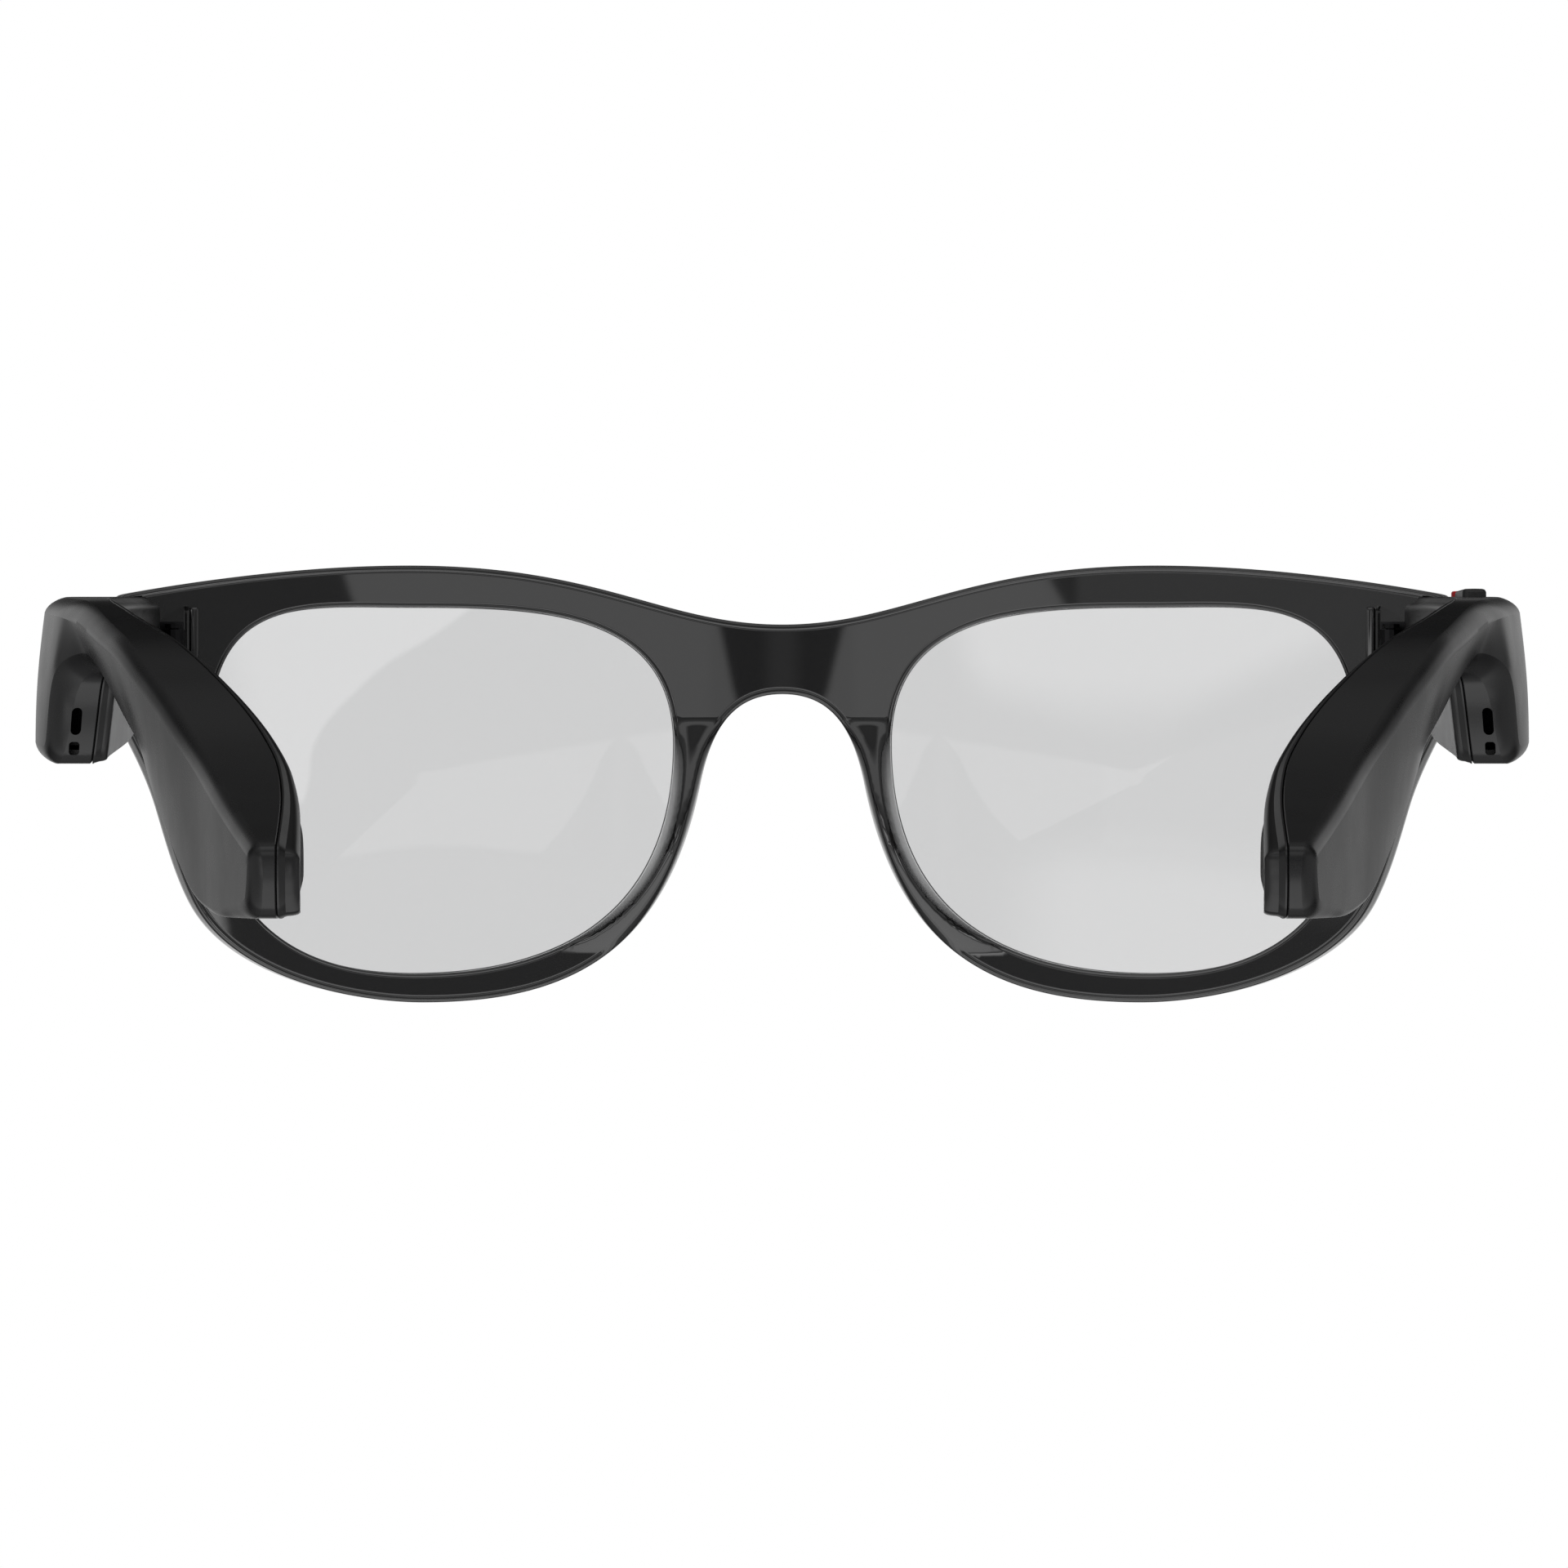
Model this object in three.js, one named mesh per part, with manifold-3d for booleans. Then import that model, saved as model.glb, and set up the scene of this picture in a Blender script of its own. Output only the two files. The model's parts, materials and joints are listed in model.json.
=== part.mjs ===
// Smart glasses: a bent front with two lenses and two hinged temples that carry the electronics.
// Millimetres. Drawn as worn (X sideways, +Y towards the ears, Z up from the rim bottoms), then
// pitched by REST_PITCH so the rims and the temple tips stand on the ground plane together.
import * as THREE from 'three';
import Module from 'manifold-3d';

const wasm = await Module();
wasm.setup();

// ---- driving dimensions -------------------------------------------------------------------
const REST_PITCH = THREE.MathUtils.degToRad(4.229);
const GAP = 0.15; // running clearance between neighbouring pieces

// front
const FRONT_T = 4.5; // thickness
const FRONT_R = 250; // wrap radius about a vertical axis behind the face
const FRONT_Y = -4; // rear face at the centre line
const FRONT_EDGE = 0.6;
const HALF_FRONT = 71.5; // centre line to the end of the lug
const RIM_TOP = 47.4;
const BROW = 41.05; // top edge at the centre line
const LUG_TOP = 44.2;
const LUG_FOOT = 32.5;
const ARCH_TOP = 33.5; // crown of the nose arch
const FLANK_X = 8.9; // half width of the nose gap at mid height
const LENS_X = 40; // lens centre
const LENS_TOP = 42.9;
const LENS_FOOT = 3.1;
const LENS_NASAL = 11.75;
const LENS_OUTER = 61.7;
const LENS_T = 1.5;
const LENS_BITE = 1.05; // how far the lens edge sits inside the rim
const LENS_DOME = 1.1;
const PAD_TOP = 30;
const PAD_FOOT = 6;
const PAD_DEPTH = 4.6;

// hinge
const PIN_X = 65.5;
const PIN_Y = 6.7;
const BARREL_R = 1.3;
const PIN_R = 0.55;
const HINGE_FOOT = 31.9;
const HINGE_TOP = 40.3;
const KNUCKLE_LOW = 34.45; // joint between the lower and the middle knuckle
const KNUCKLE_HIGH = 37.55;
const LEAF_T = 0.8;

// temple
const BUTT_Y = 5.35; // front end face at the inner side
const COVER_FRONT = 9.6;
const STEP_Y = 79; // rear wall of the deep housing
const TIP_Y = 156;
const SKIN = 1.3; // shell wall at top and bottom
const ARM_LEAN = 0.11;

// buttons on the wearer's right temple
const BUTTON_U = 4.3; // distance from the temple's inner face
const BUTTON_Y = 37;
const BUTTON_R = 1.2;
const BUTTON_PROUD = 0.6;
const ROCKER_Y = 48;
const ROCKER_L = 11;
const ROCKER_W = 2.6;
const ROCKER_PROUD = 0.9;

// ---- small tools --------------------------------------------------------------------------
// smooth curve through [position, value] knots that never overshoots between them
function curve(...k) {
  const d = k.slice(1).map((q, i) => (q[1] - k[i][1]) / (q[0] - k[i][0]));
  const m = k.map((q, i) => {
    if (i === 0 || i === k.length - 1) return i ? d[i - 1] : d[0];
    return d[i - 1] * d[i] <= 0 ? 0 : (2 * d[i - 1] * d[i]) / (d[i - 1] + d[i]);
  });
  return (x) => {
    if (x <= k[0][0]) return k[0][1] + m[0] * (x - k[0][0]);
    let i = 0;
    while (i < k.length - 2 && x > k[i + 1][0]) i++;
    const h = k[i + 1][0] - k[i][0], t = (x - k[i][0]) / h;
    return (1 - t) ** 2 * (1 + 2 * t) * k[i][1] + t * (1 - t) ** 2 * h * m[i]
      + t * t * (3 - 2 * t) * k[i + 1][1] - t * t * (1 - t) * h * m[i + 1];
  };
}

// flat chain of cubic curves; a knot is [x, z, heading], reach is how far its handles run
function chain(knots, reach, steps) {
  const out = [];
  for (let i = 0; i < knots.length - 1; i++) {
    const [x0, z0, a0] = knots[i], [x1, z1, a1] = knots[i + 1];
    const [r0, r1] = reach[i], [p, q] = [a0, a1].map(THREE.MathUtils.degToRad);
    const c = new THREE.CubicBezierCurve(new THREE.Vector2(x0, z0),
      new THREE.Vector2(x0 + r0 * Math.cos(p), z0 + r0 * Math.sin(p)),
      new THREE.Vector2(x1 - r1 * Math.cos(q), z1 - r1 * Math.sin(q)), new THREE.Vector2(x1, z1));
    for (let j = 0; j < steps[i]; j++) out.push(c.getPoint(j / steps[i]));
  }
  return out;
}

function orient(b) {
  let vol = 0;
  for (const [i, j, k] of b.t) {
    const [p, q, r] = [b.v[i], b.v[j], b.v[k]];
    vol += p[0] * (q[1] * r[2] - q[2] * r[1]) - p[1] * (q[0] * r[2] - q[2] * r[0])
      + p[2] * (q[0] * r[1] - q[1] * r[0]);
  }
  if (vol < 0) b.t = b.t.map(([i, j, k]) => [i, k, j]);
  return b;
}

// closed body through rings of equal point count
function loft(rings) {
  const n = rings[0].length, v = rings.flat(), t = [];
  for (let i = 0; i < rings.length - 1; i++) {
    for (let j = 0; j < n; j++) {
      const a = i * n + j, b = i * n + ((j + 1) % n);
      t.push([a, b, b + n], [a, b + n, a + n]);
    }
  }
  for (const [base, flip] of [[0, true], [(rings.length - 1) * n, false]]) {
    const c = v.length, mid = [0, 0, 0];
    for (let j = 0; j < n; j++) v[base + j].forEach((s, e) => { mid[e] += s / n; });
    v.push(mid);
    for (let j = 0; j < n; j++) {
      const a = base + j, b = base + ((j + 1) % n);
      t.push(flip ? [c, b, a] : [c, a, b]);
    }
  }
  return orient({ v, t });
}

function box(x0, x1, y0, y1, z0, z1) {
  return loft([z0, z1].map((z) => [[x0, y0, z], [x1, y0, z], [x1, y1, z], [x0, y1, z]]));
}

// turned body: profile of [radius, station], axis through c along e ('x', 'y' or 'z')
function turned(profile, c, e, n = 12) {
  return loft(profile.map(([r, s]) => Array.from({ length: n }, (_, i) => {
    const a = (2 * Math.PI * (i + 0.5)) / n, p = r * Math.cos(a), q = r * Math.sin(a);
    const l = { x: [s, p, q], y: [q, s, p], z: [p, q, s] }[e];
    return l.map((w, d) => w + c[d]);
  })));
}

const move = (b, f) => orient({ v: b.v.map(f), t: b.t });
const mirror = (b) => move(b, ([x, y, z]) => [-x, y, z]);

function weld(b) {
  const key = new Map(), v = [];
  const map = b.v.map((p) => {
    const k = p.map((s) => Math.round(s * 1e4)).join();
    if (!key.has(k)) { key.set(k, v.length); v.push(p); }
    return key.get(k);
  });
  const t = b.t.map((q) => q.map((i) => map[i])).filter(([i, j, k]) => i !== j && j !== k && k !== i);
  return { v, t };
}

function solid(b) {
  const w = weld(b);
  return new wasm.Manifold(new wasm.Mesh({
    numProp: 3, vertProperties: new Float32Array(w.v.flat()), triVerts: new Uint32Array(w.t.flat()),
  }));
}

function body(m) {
  const g = m.getMesh(), v = [], t = [];
  for (let i = 0; i < g.vertProperties.length; i += g.numProp) v.push([...g.vertProperties.slice(i, i + 3)]);
  for (let i = 0; i < g.triVerts.length; i += 3) t.push([...g.triVerts.slice(i, i + 3)]);
  return weld({ v, t });
}

function combine(base, { add = [], cut = [] }) {
  let m = solid(base);
  for (const b of add) m = m.add(solid(b));
  for (const b of cut) m = m.subtract(solid(b));
  return body(m);
}

// split every edge that spans more than `reach` sideways, so a flat body can be bent smoothly
function refine(b, reach) {
  let { v, t } = b, busy = true;
  while (busy) {
    busy = false;
    const mids = new Map(), next = [];
    const mid = (i, j) => {
      if (Math.abs(v[i][0] - v[j][0]) <= reach) return -1;
      const k = i < j ? `${i},${j}` : `${j},${i}`;
      if (!mids.has(k)) { mids.set(k, v.length); v.push(v[i].map((s, e) => (s + v[j][e]) / 2)); }
      return mids.get(k);
    };
    for (const [i, j, k] of t) {
      const m = [mid(i, j), mid(j, k), mid(k, i)], c = m.filter((s) => s >= 0).length;
      if (c) busy = true;
      if (c === 0) next.push([i, j, k]);
      else if (c === 3) next.push([i, m[0], m[2]], [m[0], j, m[1]], [m[2], m[1], k], [m[0], m[1], m[2]]);
      else {
        let [p, q, r] = [i, j, k], [a, d, e] = m;
        while (c === 1 ? a < 0 : e >= 0) { [p, q, r] = [q, r, p]; [a, d, e] = [d, e, a]; }
        if (c === 1) next.push([p, a, r], [a, q, r]);
        else next.push([a, q, d], [p, a, d], [p, d, r]);
      }
    }
    t = next;
  }
  return { v, t };
}

// ---- front --------------------------------------------------------------------------------
// the front is drawn flat (x along the bent face, y = 0 on its rear face) and then wrapped
const flat = (x) => FRONT_R * Math.asin(x / FRONT_R);
function wrap([s, y, z]) {
  const a = s / FRONT_R, r = FRONT_R - y;
  return [r * Math.sin(a), FRONT_Y + FRONT_R - r * Math.cos(a), z];
}
const bent = (b, reach = 9) => move(refine(weld(b), reach), wrap);
const flatten = (pts) => pts.map((p) => new THREE.Vector2(flat(p.x), p.y));

const halfOutline = flatten(chain(
  [[0, BROW, 0], [LENS_X, RIM_TOP, 0], [HALF_FRONT - 1, LUG_TOP, -11], [HALF_FRONT, LUG_TOP - 1.2, -90],
    [HALF_FRONT, LUG_FOOT, -90], [66.8, 21, -106], [63.4, 11, -116], [38.8, 0, 180], [FLANK_X, 23.7, 101.3],
    [0, ARCH_TOP, 180]],
  [[12.9, 20.5], [10, 10], [0.6, 0.6], [1, 1], [1.6, 6], [3.5, 3.5], [9.1, 7.9], [13.6, 20.4], [5.6, 5.7]],
  [8, 6, 2, 1, 4, 2, 6, 9, 5],
));
halfOutline.push(new THREE.Vector2(0, ARCH_TOP));
const outline = [...halfOutline,
  ...halfOutline.slice(1, -1).reverse().map((p) => new THREE.Vector2(-p.x, p.y))];

const opening = flatten(chain(
  [[LENS_X, LENS_TOP, 180], [LENS_NASAL, 28.1, -90], [39.6, LENS_FOOT, 0], [LENS_OUTER, 28.7, 90],
    [LENS_X, LENS_TOP, 180]],
  [[13.1, 14.9], [17.1, 17.4], [22, 9], [15.6, 11.6]], [10, 10, 10, 10],
));
const flip = (pts) => pts.map((p) => new THREE.Vector2(-p.x, p.y)).reverse();

// outline moved outwards by d
function grow(pts, d) {
  const n = pts.length, s = Math.sign(THREE.ShapeUtils.area(pts));
  return pts.map((p, i) => {
    const e = pts[(i + 1) % n].clone().sub(pts[(i + n - 1) % n]).normalize();
    return new THREE.Vector2(p.x + s * d * e.y, p.y - s * d * e.x);
  });
}

function plate(pts, holes, y0, y1, edge) {
  const shape = new THREE.Shape(pts);
  shape.holes = holes.map((h) => new THREE.Path(h));
  const g = new THREE.ExtrudeGeometry(shape, {
    depth: y1 - y0 - 2 * edge, bevelEnabled: edge > 0, bevelThickness: edge, bevelSize: edge,
    bevelOffset: -edge, bevelSegments: 2, curveSegments: 1,
  });
  const p = g.attributes.position, v = [], t = [];
  for (let i = 0; i < p.count; i++) v.push([p.getX(i), y0 + edge + p.getZ(i), p.getY(i)]);
  for (let i = 0; i < p.count; i += 3) t.push([i, i + 1, i + 2]);
  return orient(weld({ v, t }));
}

// where an outline crosses height z on its nasal side
function sideAt(pts, z, pick) {
  const xs = [];
  pts.forEach((p, i) => {
    const q = pts[(i + 1) % pts.length];
    if ((p.y - z) * (q.y - z) < 0) xs.push(p.x + ((q.x - p.x) * (z - p.y)) / (q.y - p.y));
  });
  return pick(...xs);
}

function nosePad() {
  const rings = [];
  for (let i = 0; i <= 12; i++) {
    const f = i / 12, z = PAD_TOP + (PAD_FOOT - PAD_TOP) * f;
    const h = -0.8 + (PAD_DEPTH + 0.8) * Math.sin(Math.PI * f) ** 0.7;
    const a = sideAt(halfOutline.slice(30), z, Math.min) + 0.35, b = sideAt(opening, z, Math.min) - 0.35;
    const lip = Math.min(h, 0), w = b - a;
    rings.push([[a, -2], [a + 0.05, lip - 0.02], [a + 0.25 * w, lip + 0.72 * (h - lip)], [a + 0.5 * w, h],
      [a + 0.75 * w, h], [b - 0.1, lip + 0.6 * (h - lip)], [b, lip - 0.02], [b, -2]]
      .map(([x, y]) => [x, y, z]));
  }
  return loft(rings);
}

const leafScrewSpots = [[68.2, 33.6], [68.2, 38.8]];
function buildFront() {
  const lug = flat(HALF_FRONT), rib = flat(64);
  const one = [nosePad(), box(rib - 1, rib, -1, 0.7, 29.5, 43)];
  const groove = plate(grow(opening, LENS_BITE + GAP), [], -3.1, -1.3, 0);
  const recess = box(rib + 0.02, lug + 2, -LEAF_T - 2 * GAP, 2, HINGE_FOOT - 0.4, 42);
  const bores = leafScrewSpots.map(([s, z]) => turned([[0.62, -3.4], [0.62, 1]], [s, 0, z], 'y'));
  const cuts = [groove, recess, ...bores];
  const slab = plate(outline, [opening, flip(opening)], -FRONT_T, 0, FRONT_EDGE);
  return bent(combine(slab, { add: [...one, ...one.map(mirror)], cut: [...cuts, ...cuts.map(mirror)] }));
}

function buildLens() {
  const edge = grow(opening, LENS_BITE), mid = edge.reduce((s, p) => s.add(p), new THREE.Vector2())
    .divideScalar(edge.length);
  const ring = (f, y) => edge.map((p) => [mid.x + (p.x - mid.x) * f, y - LENS_DOME * (1 - f * f),
    mid.y + (p.y - mid.y) * f]);
  const spread = [0.12, 0.42, 0.72, 1], front = -2.95, rear = front + LENS_T;
  return bent(loft([...spread.map((f) => ring(f, rear)), ...spread.reverse().map((f) => ring(f, front))]), 12);
}

// knuckle of the hinge between two heights, with its bore cut later
const knuckle = (z0, z1) => turned([[BARREL_R, z0], [BARREL_R, z1]], [PIN_X, PIN_Y, 0], 'z', 16);
const pinBore = () => turned([[PIN_R + GAP, HINGE_FOOT - 1], [PIN_R + GAP, HINGE_TOP + 1]],
  [PIN_X, PIN_Y, 0], 'z');

function frameLeaf() {
  const base = bent(box(flat(64.5), flat(70.6), -LEAF_T - GAP, -GAP, HINGE_FOOT, 41.2));
  const spans = [[HINGE_FOOT, KNUCKLE_LOW - GAP / 2], [KNUCKLE_HIGH + GAP / 2, HINGE_TOP]];
  const webs = spans.map(([a, b]) => box(PIN_X - 0.6, PIN_X + 0.6, 3.9, PIN_Y, a, b));
  const bores = leafScrewSpots.flatMap(([s, z]) => [
    turned([[0.62, -3], [0.62, 1]], [s, 0, z], 'y'), turned([[1.05, -0.72], [1.05, 1]], [s, 0, z], 'y')]);
  return combine(base, { add: [...webs, ...spans.map(([a, b]) => knuckle(a, b))],
    cut: [pinBore(), ...bores.map((b) => bent(b))] });
}

const screw = (c, e, s) => turned([[0.5, -s * 2.9], [0.5, -s * 0.45], [0.9, -s * 0.45], [0.9, 0]], c, e);
const frameLeafScrews = leafScrewSpots.map(([s, z]) => bent(screw([s, -0.2, z], 'y', 1)));
const pivotScrew = turned([[PIN_R, HINGE_FOOT + 0.3], [PIN_R, HINGE_TOP + GAP], [0.95, HINGE_TOP + GAP],
  [0.95, HINGE_TOP + 0.6]], [PIN_X, PIN_Y, 0], 'z');

// ---- temple -------------------------------------------------------------------------------
// temple coordinates: u from the inner face outwards, y along the temple, z up
const PADDLE_Y = 128, HEEL_Y = 143;
const innerX = curve([0, 66.7], [60, 66.7], [STEP_Y, 65.5], [88, 63.4], [100.5, 58.6], [112, 53.3],
  [126, 47.7], [134, 45.8], [HEEL_Y, 44.75], [TIP_Y, 44.1]);
const outerX = curve([0, 71.4], [30, 73.6], [57, 74.85], [64, 74.7], [76, 72.6], [85, 70.2], [95, 67.5],
  [106, 64], [118, 59.7], [130, 55.7], [142, 52.5], [TIP_Y, 48.65]);
const topZ = curve([0, 43.95], [STEP_Y - 1, 42.1], [100, 38.4], [113, 33.9], [PADDLE_Y, 27.6],
  [HEEL_Y, 22.2], [TIP_Y, 17.9]);
const armFoot = curve([60, 35.9], [84, 35], [100, 28.1], [112, 20.6], [132, 12.3], [HEEL_Y, 11.3],
  [151, 11.3], [154.5, 11.8], [TIP_Y, 14.9]);
const houseFoot = curve([0, 32.2], [30, 30.2], [51, 28.3], [70, 26.1], [76, 25.7], [STEP_Y - 1, 26.6],
  [STEP_Y - 0.1, 29], [STEP_Y + 0.6, 32.5], [STEP_Y + 2, 34.4], [84, 35]);
const footZ = (y) => (y < 84 ? houseFoot(y) : armFoot(y));
const coverT = curve([9, 1.7], [80, 1.5], [112, 1.45], [130, 1.45], [HEEL_Y, 1.7], [TIP_Y, 2.15]);
const wallT = curve([20, 1.2], [76, 1], [88, 0.75], [104, 0.75], [114, 1.2], [TIP_Y, 1.2]);
const lean = curve([0, 0], [54, 0], [STEP_Y - 3, ARM_LEAN], [STEP_Y + 2, ARM_LEAN], [104, 0], [TIP_Y, 0]);
const flare = curve([0, 0], [52, 0], [60, 0.15], [72, -0.3], [STEP_Y, -0.7], [85, -2.6], [100, -3], [106, -2.6],
  [118, -1.4], [130, -0.5], [142, -0.3], [TIP_Y, 0]); // how far the lower outer edge stands out
const bandW = curve([0, 1.5], [50, 1.5], [76, 2.3], [90, 1.8], [118, 1.45], [TIP_Y, 1.1]); // rounded upper
const bandH = curve([0, 1.3], [50, 1.3], [76, 1.65], [90, 1.8], [118, 1.45], [TIP_Y, 1.1]); // outer edge
const thick = (y) => outerX(y) - innerX(y);
const place = ([u, y, z]) => [innerX(y) + lean(y) * (topZ(y) - z) + u, y, z];
const midZ = (y) => (topZ(y) + armFoot(y)) / 2;
const at = (ring, y) => ring.map(([u, z]) => place([u, y, z]));

function shellRing(y, inset = 0) {
  const c = coverT(y) + GAP / 2, T = thick(y) - inset, a = footZ(y) + inset, b = topZ(y) - inset;
  const w = Math.min(bandW(y), 0.6 * (T - c)), k = Math.min(bandH(y), 0.42 * (b - a)), F = T + flare(y);
  const low = Math.min(1.8, 0.2 * (b - a));
  return [[c, a], [F - 0.75 * w, a], [F - 0.2 * w, a + 0.4 * low], [F, a + low], [0.55 * F + 0.45 * T, a + 0.5 * (b - a - k)],
    [T, b - k], [T - 0.28 * w, b - 0.42 * k], [T - w, b], [c, b]];
}

function coverRing(y, inset = 0) {
  const c = coverT(y) - GAP / 2, e = 0.6 * c, a = footZ(y) + inset, b = topZ(y) - inset;
  return [[e + inset * 0.4, a], [c, a], [c, b], [e + inset * 0.4, b], [inset * 0.4, b - e], [inset * 0.4, a + e]];
}

function cavityRing(y, foot) {
  const c = coverT(y) - 0.5, T = thick(y) - wallT(y), a = foot(y) + SKIN, b = topZ(y) - SKIN;
  const F = T + flare(y), k = 0.38 * (b - a);
  return [[c, a], [F, a], [F, a + 0.45 * (b - a - k)], [T, b - k],
    [T - 0.45 * Math.min(1.8, T - c), b], [c, b]];
}

// straight-sided body between stations along the temple
const slab = (u0, u1, ys, low, high) => loft(ys.map((y) => {
  const f = (s) => (typeof s === 'function' ? s(y) : s);
  return at([[f(u0), f(low)], [f(u1), f(low)], [f(u1), f(high)], [f(u0), f(high)]], y);
}));

const houseStations = [12, 24, 38, 50, 58, 64, 70, 74, 76.4, 77.8, 78.6, 79.2, 80, 81.4, 84];
const armStations = [89, 94, 100, 106, 112, 119, 126, 133, 139, 144, 149, 152.4, 154.4];
const frontRing = (lag, inset) => shellRing(7, inset)
  .map(([u, z]) => { const q = place([u, 7, z]); return [q[0], BUTT_Y + 0.3 * u + lag, q[2]]; });
const templeScrewSpots = [12.6, 16.6];
const LEAF_U = 1.8; // inner side of the temple leaf's plate
const leafMid = (HINGE_FOOT + HINGE_TOP) / 2 - 0.1;

function templeShell(right) {
  const rings = [frontRing(0, 0.5), frontRing(0.5, 0), ...[...houseStations, ...armStations]
    .map((y) => at(shellRing(y), y)), at(shellRing(TIP_Y - 0.7), TIP_Y - 0.7),
  at(shellRing(TIP_Y, 0.7), TIP_Y)];
  const cut = [
    loft([20, 30, 42, 54, 62, 70, 76.8].map((y) => at(cavityRing(y, houseFoot), y))),
    loft([66, 74, 82, 88, 94, 100, 106, 112, 120, 128, 136, 144, 151].map((y) => at(cavityRing(y, armFoot), y))),
    slab(0.8, LEAF_U + LEAF_T + GAP, [4, 12, 19.3], leafMid - 2.1, leafMid + 2.1),
    ...templeScrewSpots.map((y) => turned([[0.62, 0], [0.62, 4.9]], place([0, y, leafMid]), 'x')),
    ...[[28.6, 31.3, 3.6], [26.6, 27.9, 3.6]].map(([a, b, u]) => slab(u - 0.5, u + 0.5,
      [STEP_Y - 4, STEP_Y - 1, STEP_Y + 2], a, b)),
  ];
  if (right) {
    const t = topZ(BUTTON_Y), r = topZ(ROCKER_Y);
    cut.push(turned([[BUTTON_R + 0.15, t - 3], [BUTTON_R + 0.15, t + 2]], place([BUTTON_U, BUTTON_Y, 0]), 'z', 24),
      turned([[1.7, t - 2.6], [1.7, t - 1.4]], place([BUTTON_U, BUTTON_Y, 0]), 'z', 24),
      slab(BUTTON_U - ROCKER_W / 2 - GAP, BUTTON_U + ROCKER_W / 2 + GAP,
        [ROCKER_Y - ROCKER_L / 2 - 0.25, ROCKER_Y + ROCKER_L / 2 + 0.25], r - 2.6, r + 2),
      slab(BUTTON_U - ROCKER_W / 2 - GAP, BUTTON_U + ROCKER_W / 2 + GAP,
        [ROCKER_Y - ROCKER_L / 2 - 1, ROCKER_Y + ROCKER_L / 2 + 1], r - 2.8, r - 1.25));
  }
  return combine(loft(rings), { cut });
}

const contactSpots = [26, 30], magnetSpots = [22.4, 33.6], CONTACT_Z = 37;
const padEnds = [133, 153];
const padSpan = (y) => Math.sin(Math.PI * (0.04 + (0.92 * (y - padEnds[0])) / (padEnds[1] - padEnds[0]))) ** 0.6;
const padRing = (y, d) => {
  const h = ((topZ(y) - armFoot(y)) / 2 - 1.7) * padSpan(y) + d, e = 0.3;
  return at([[-e - (d > 0 ? 1 : 0), midZ(y) - h + 0.5], [-e - (d > 0 ? 1 : 0), midZ(y) + h - 0.5],
    [0, midZ(y) + h], [0.5 + d, midZ(y) + h], [0.5 + d, midZ(y) - h], [0, midZ(y) - h]], y);
};
const padStations = Array.from({ length: 9 }, (_, i) => padEnds[0] + ((padEnds[1] - padEnds[0]) * i) / 8);

function innerCover() {
  const rings = [[COVER_FRONT, 0.5], [COVER_FRONT + 0.5, 0],
    ...[...houseStations.slice(1), ...armStations].map((y) => [y, 0]), [TIP_Y - 0.7, 0], [TIP_Y, 0.7]]
    .map(([y, i]) => at(coverRing(y, i), y));
  const pocket = padStations.map((y, i) => padRing(i === 0 ? y - GAP : i === 8 ? y + GAP : y, GAP));
  return combine(loft(rings), { cut: [loft(pocket),
    ...contactSpots.map((y) => turned([[0.95, -1], [0.95, 3]], place([0, y, CONTACT_Z]), 'x')),
    ...magnetSpots.map((y) => turned([[1.55, 0.5], [1.55, 3]], place([0, y, CONTACT_Z]), 'x', 16))] });
}

function templeLeaf() {
  const base = slab(LEAF_U, LEAF_U + LEAF_T, [8.6, 18.9], leafMid - 1.9, leafMid + 1.9);
  const z0 = KNUCKLE_LOW + GAP / 2, z1 = KNUCKLE_HIGH - GAP / 2, out = 66.7 + LEAF_U + LEAF_T;
  const web = loft([z0, z1].map((z) => [[PIN_X, PIN_Y - 0.5], [PIN_X + 1, PIN_Y - 0.5], [out, 8.4], [out, 9.2],
    [out - LEAF_T, 9.2], [PIN_X - 0.2, PIN_Y + 0.9]].map(([x, y]) => [x, y, z])));
  const bores = templeScrewSpots.flatMap((y) => [
    turned([[0.62, 0], [0.62, 5]], place([0, y, leafMid]), 'x'),
    turned([[1.05, 0], [1.05, LEAF_U + 0.55]], place([0, y, leafMid]), 'x')]);
  return combine(base, { add: [web, knuckle(z0, z1)], cut: [pinBore(), ...bores] });
}

// ---- assembly -----------------------------------------------------------------------------
const finish = {
  frame: [0x26262a, 0, 0.55], lens: [0xdfe3e6, 0, 0.05], shell: [0x303033, 0, 0.45], cover: [0x3a3a3d, 0, 0.5],
  steel: [0x9a9da1, 1, 0.35], board: [0x1d5a3a, 0, 0.6], cell: [0x6f7a86, 0.4, 0.5], part: [0x1b1b1d, 0.2, 0.6],
  gold: [0xc9a253, 1, 0.3], mesh: [0x55585c, 0.8, 0.5], pad: [0x2b2b2d, 0, 0.9], film: [0xb9763a, 0, 0.5],
  red: [0xd0121b, 0, 0.4], key: [0x1f1f21, 0, 0.5],
};
const group = new THREE.Group();
group.name = 'smart_glasses';
const bodies = [];

function add(name, b, look) {
  const rest = b.v.map(([x, y, z]) => [x, y * Math.cos(REST_PITCH) + z * Math.sin(REST_PITCH),
    -y * Math.sin(REST_PITCH) + z * Math.cos(REST_PITCH)]);
  bodies.push({ name, v: rest, t: b.t, look });
}

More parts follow.
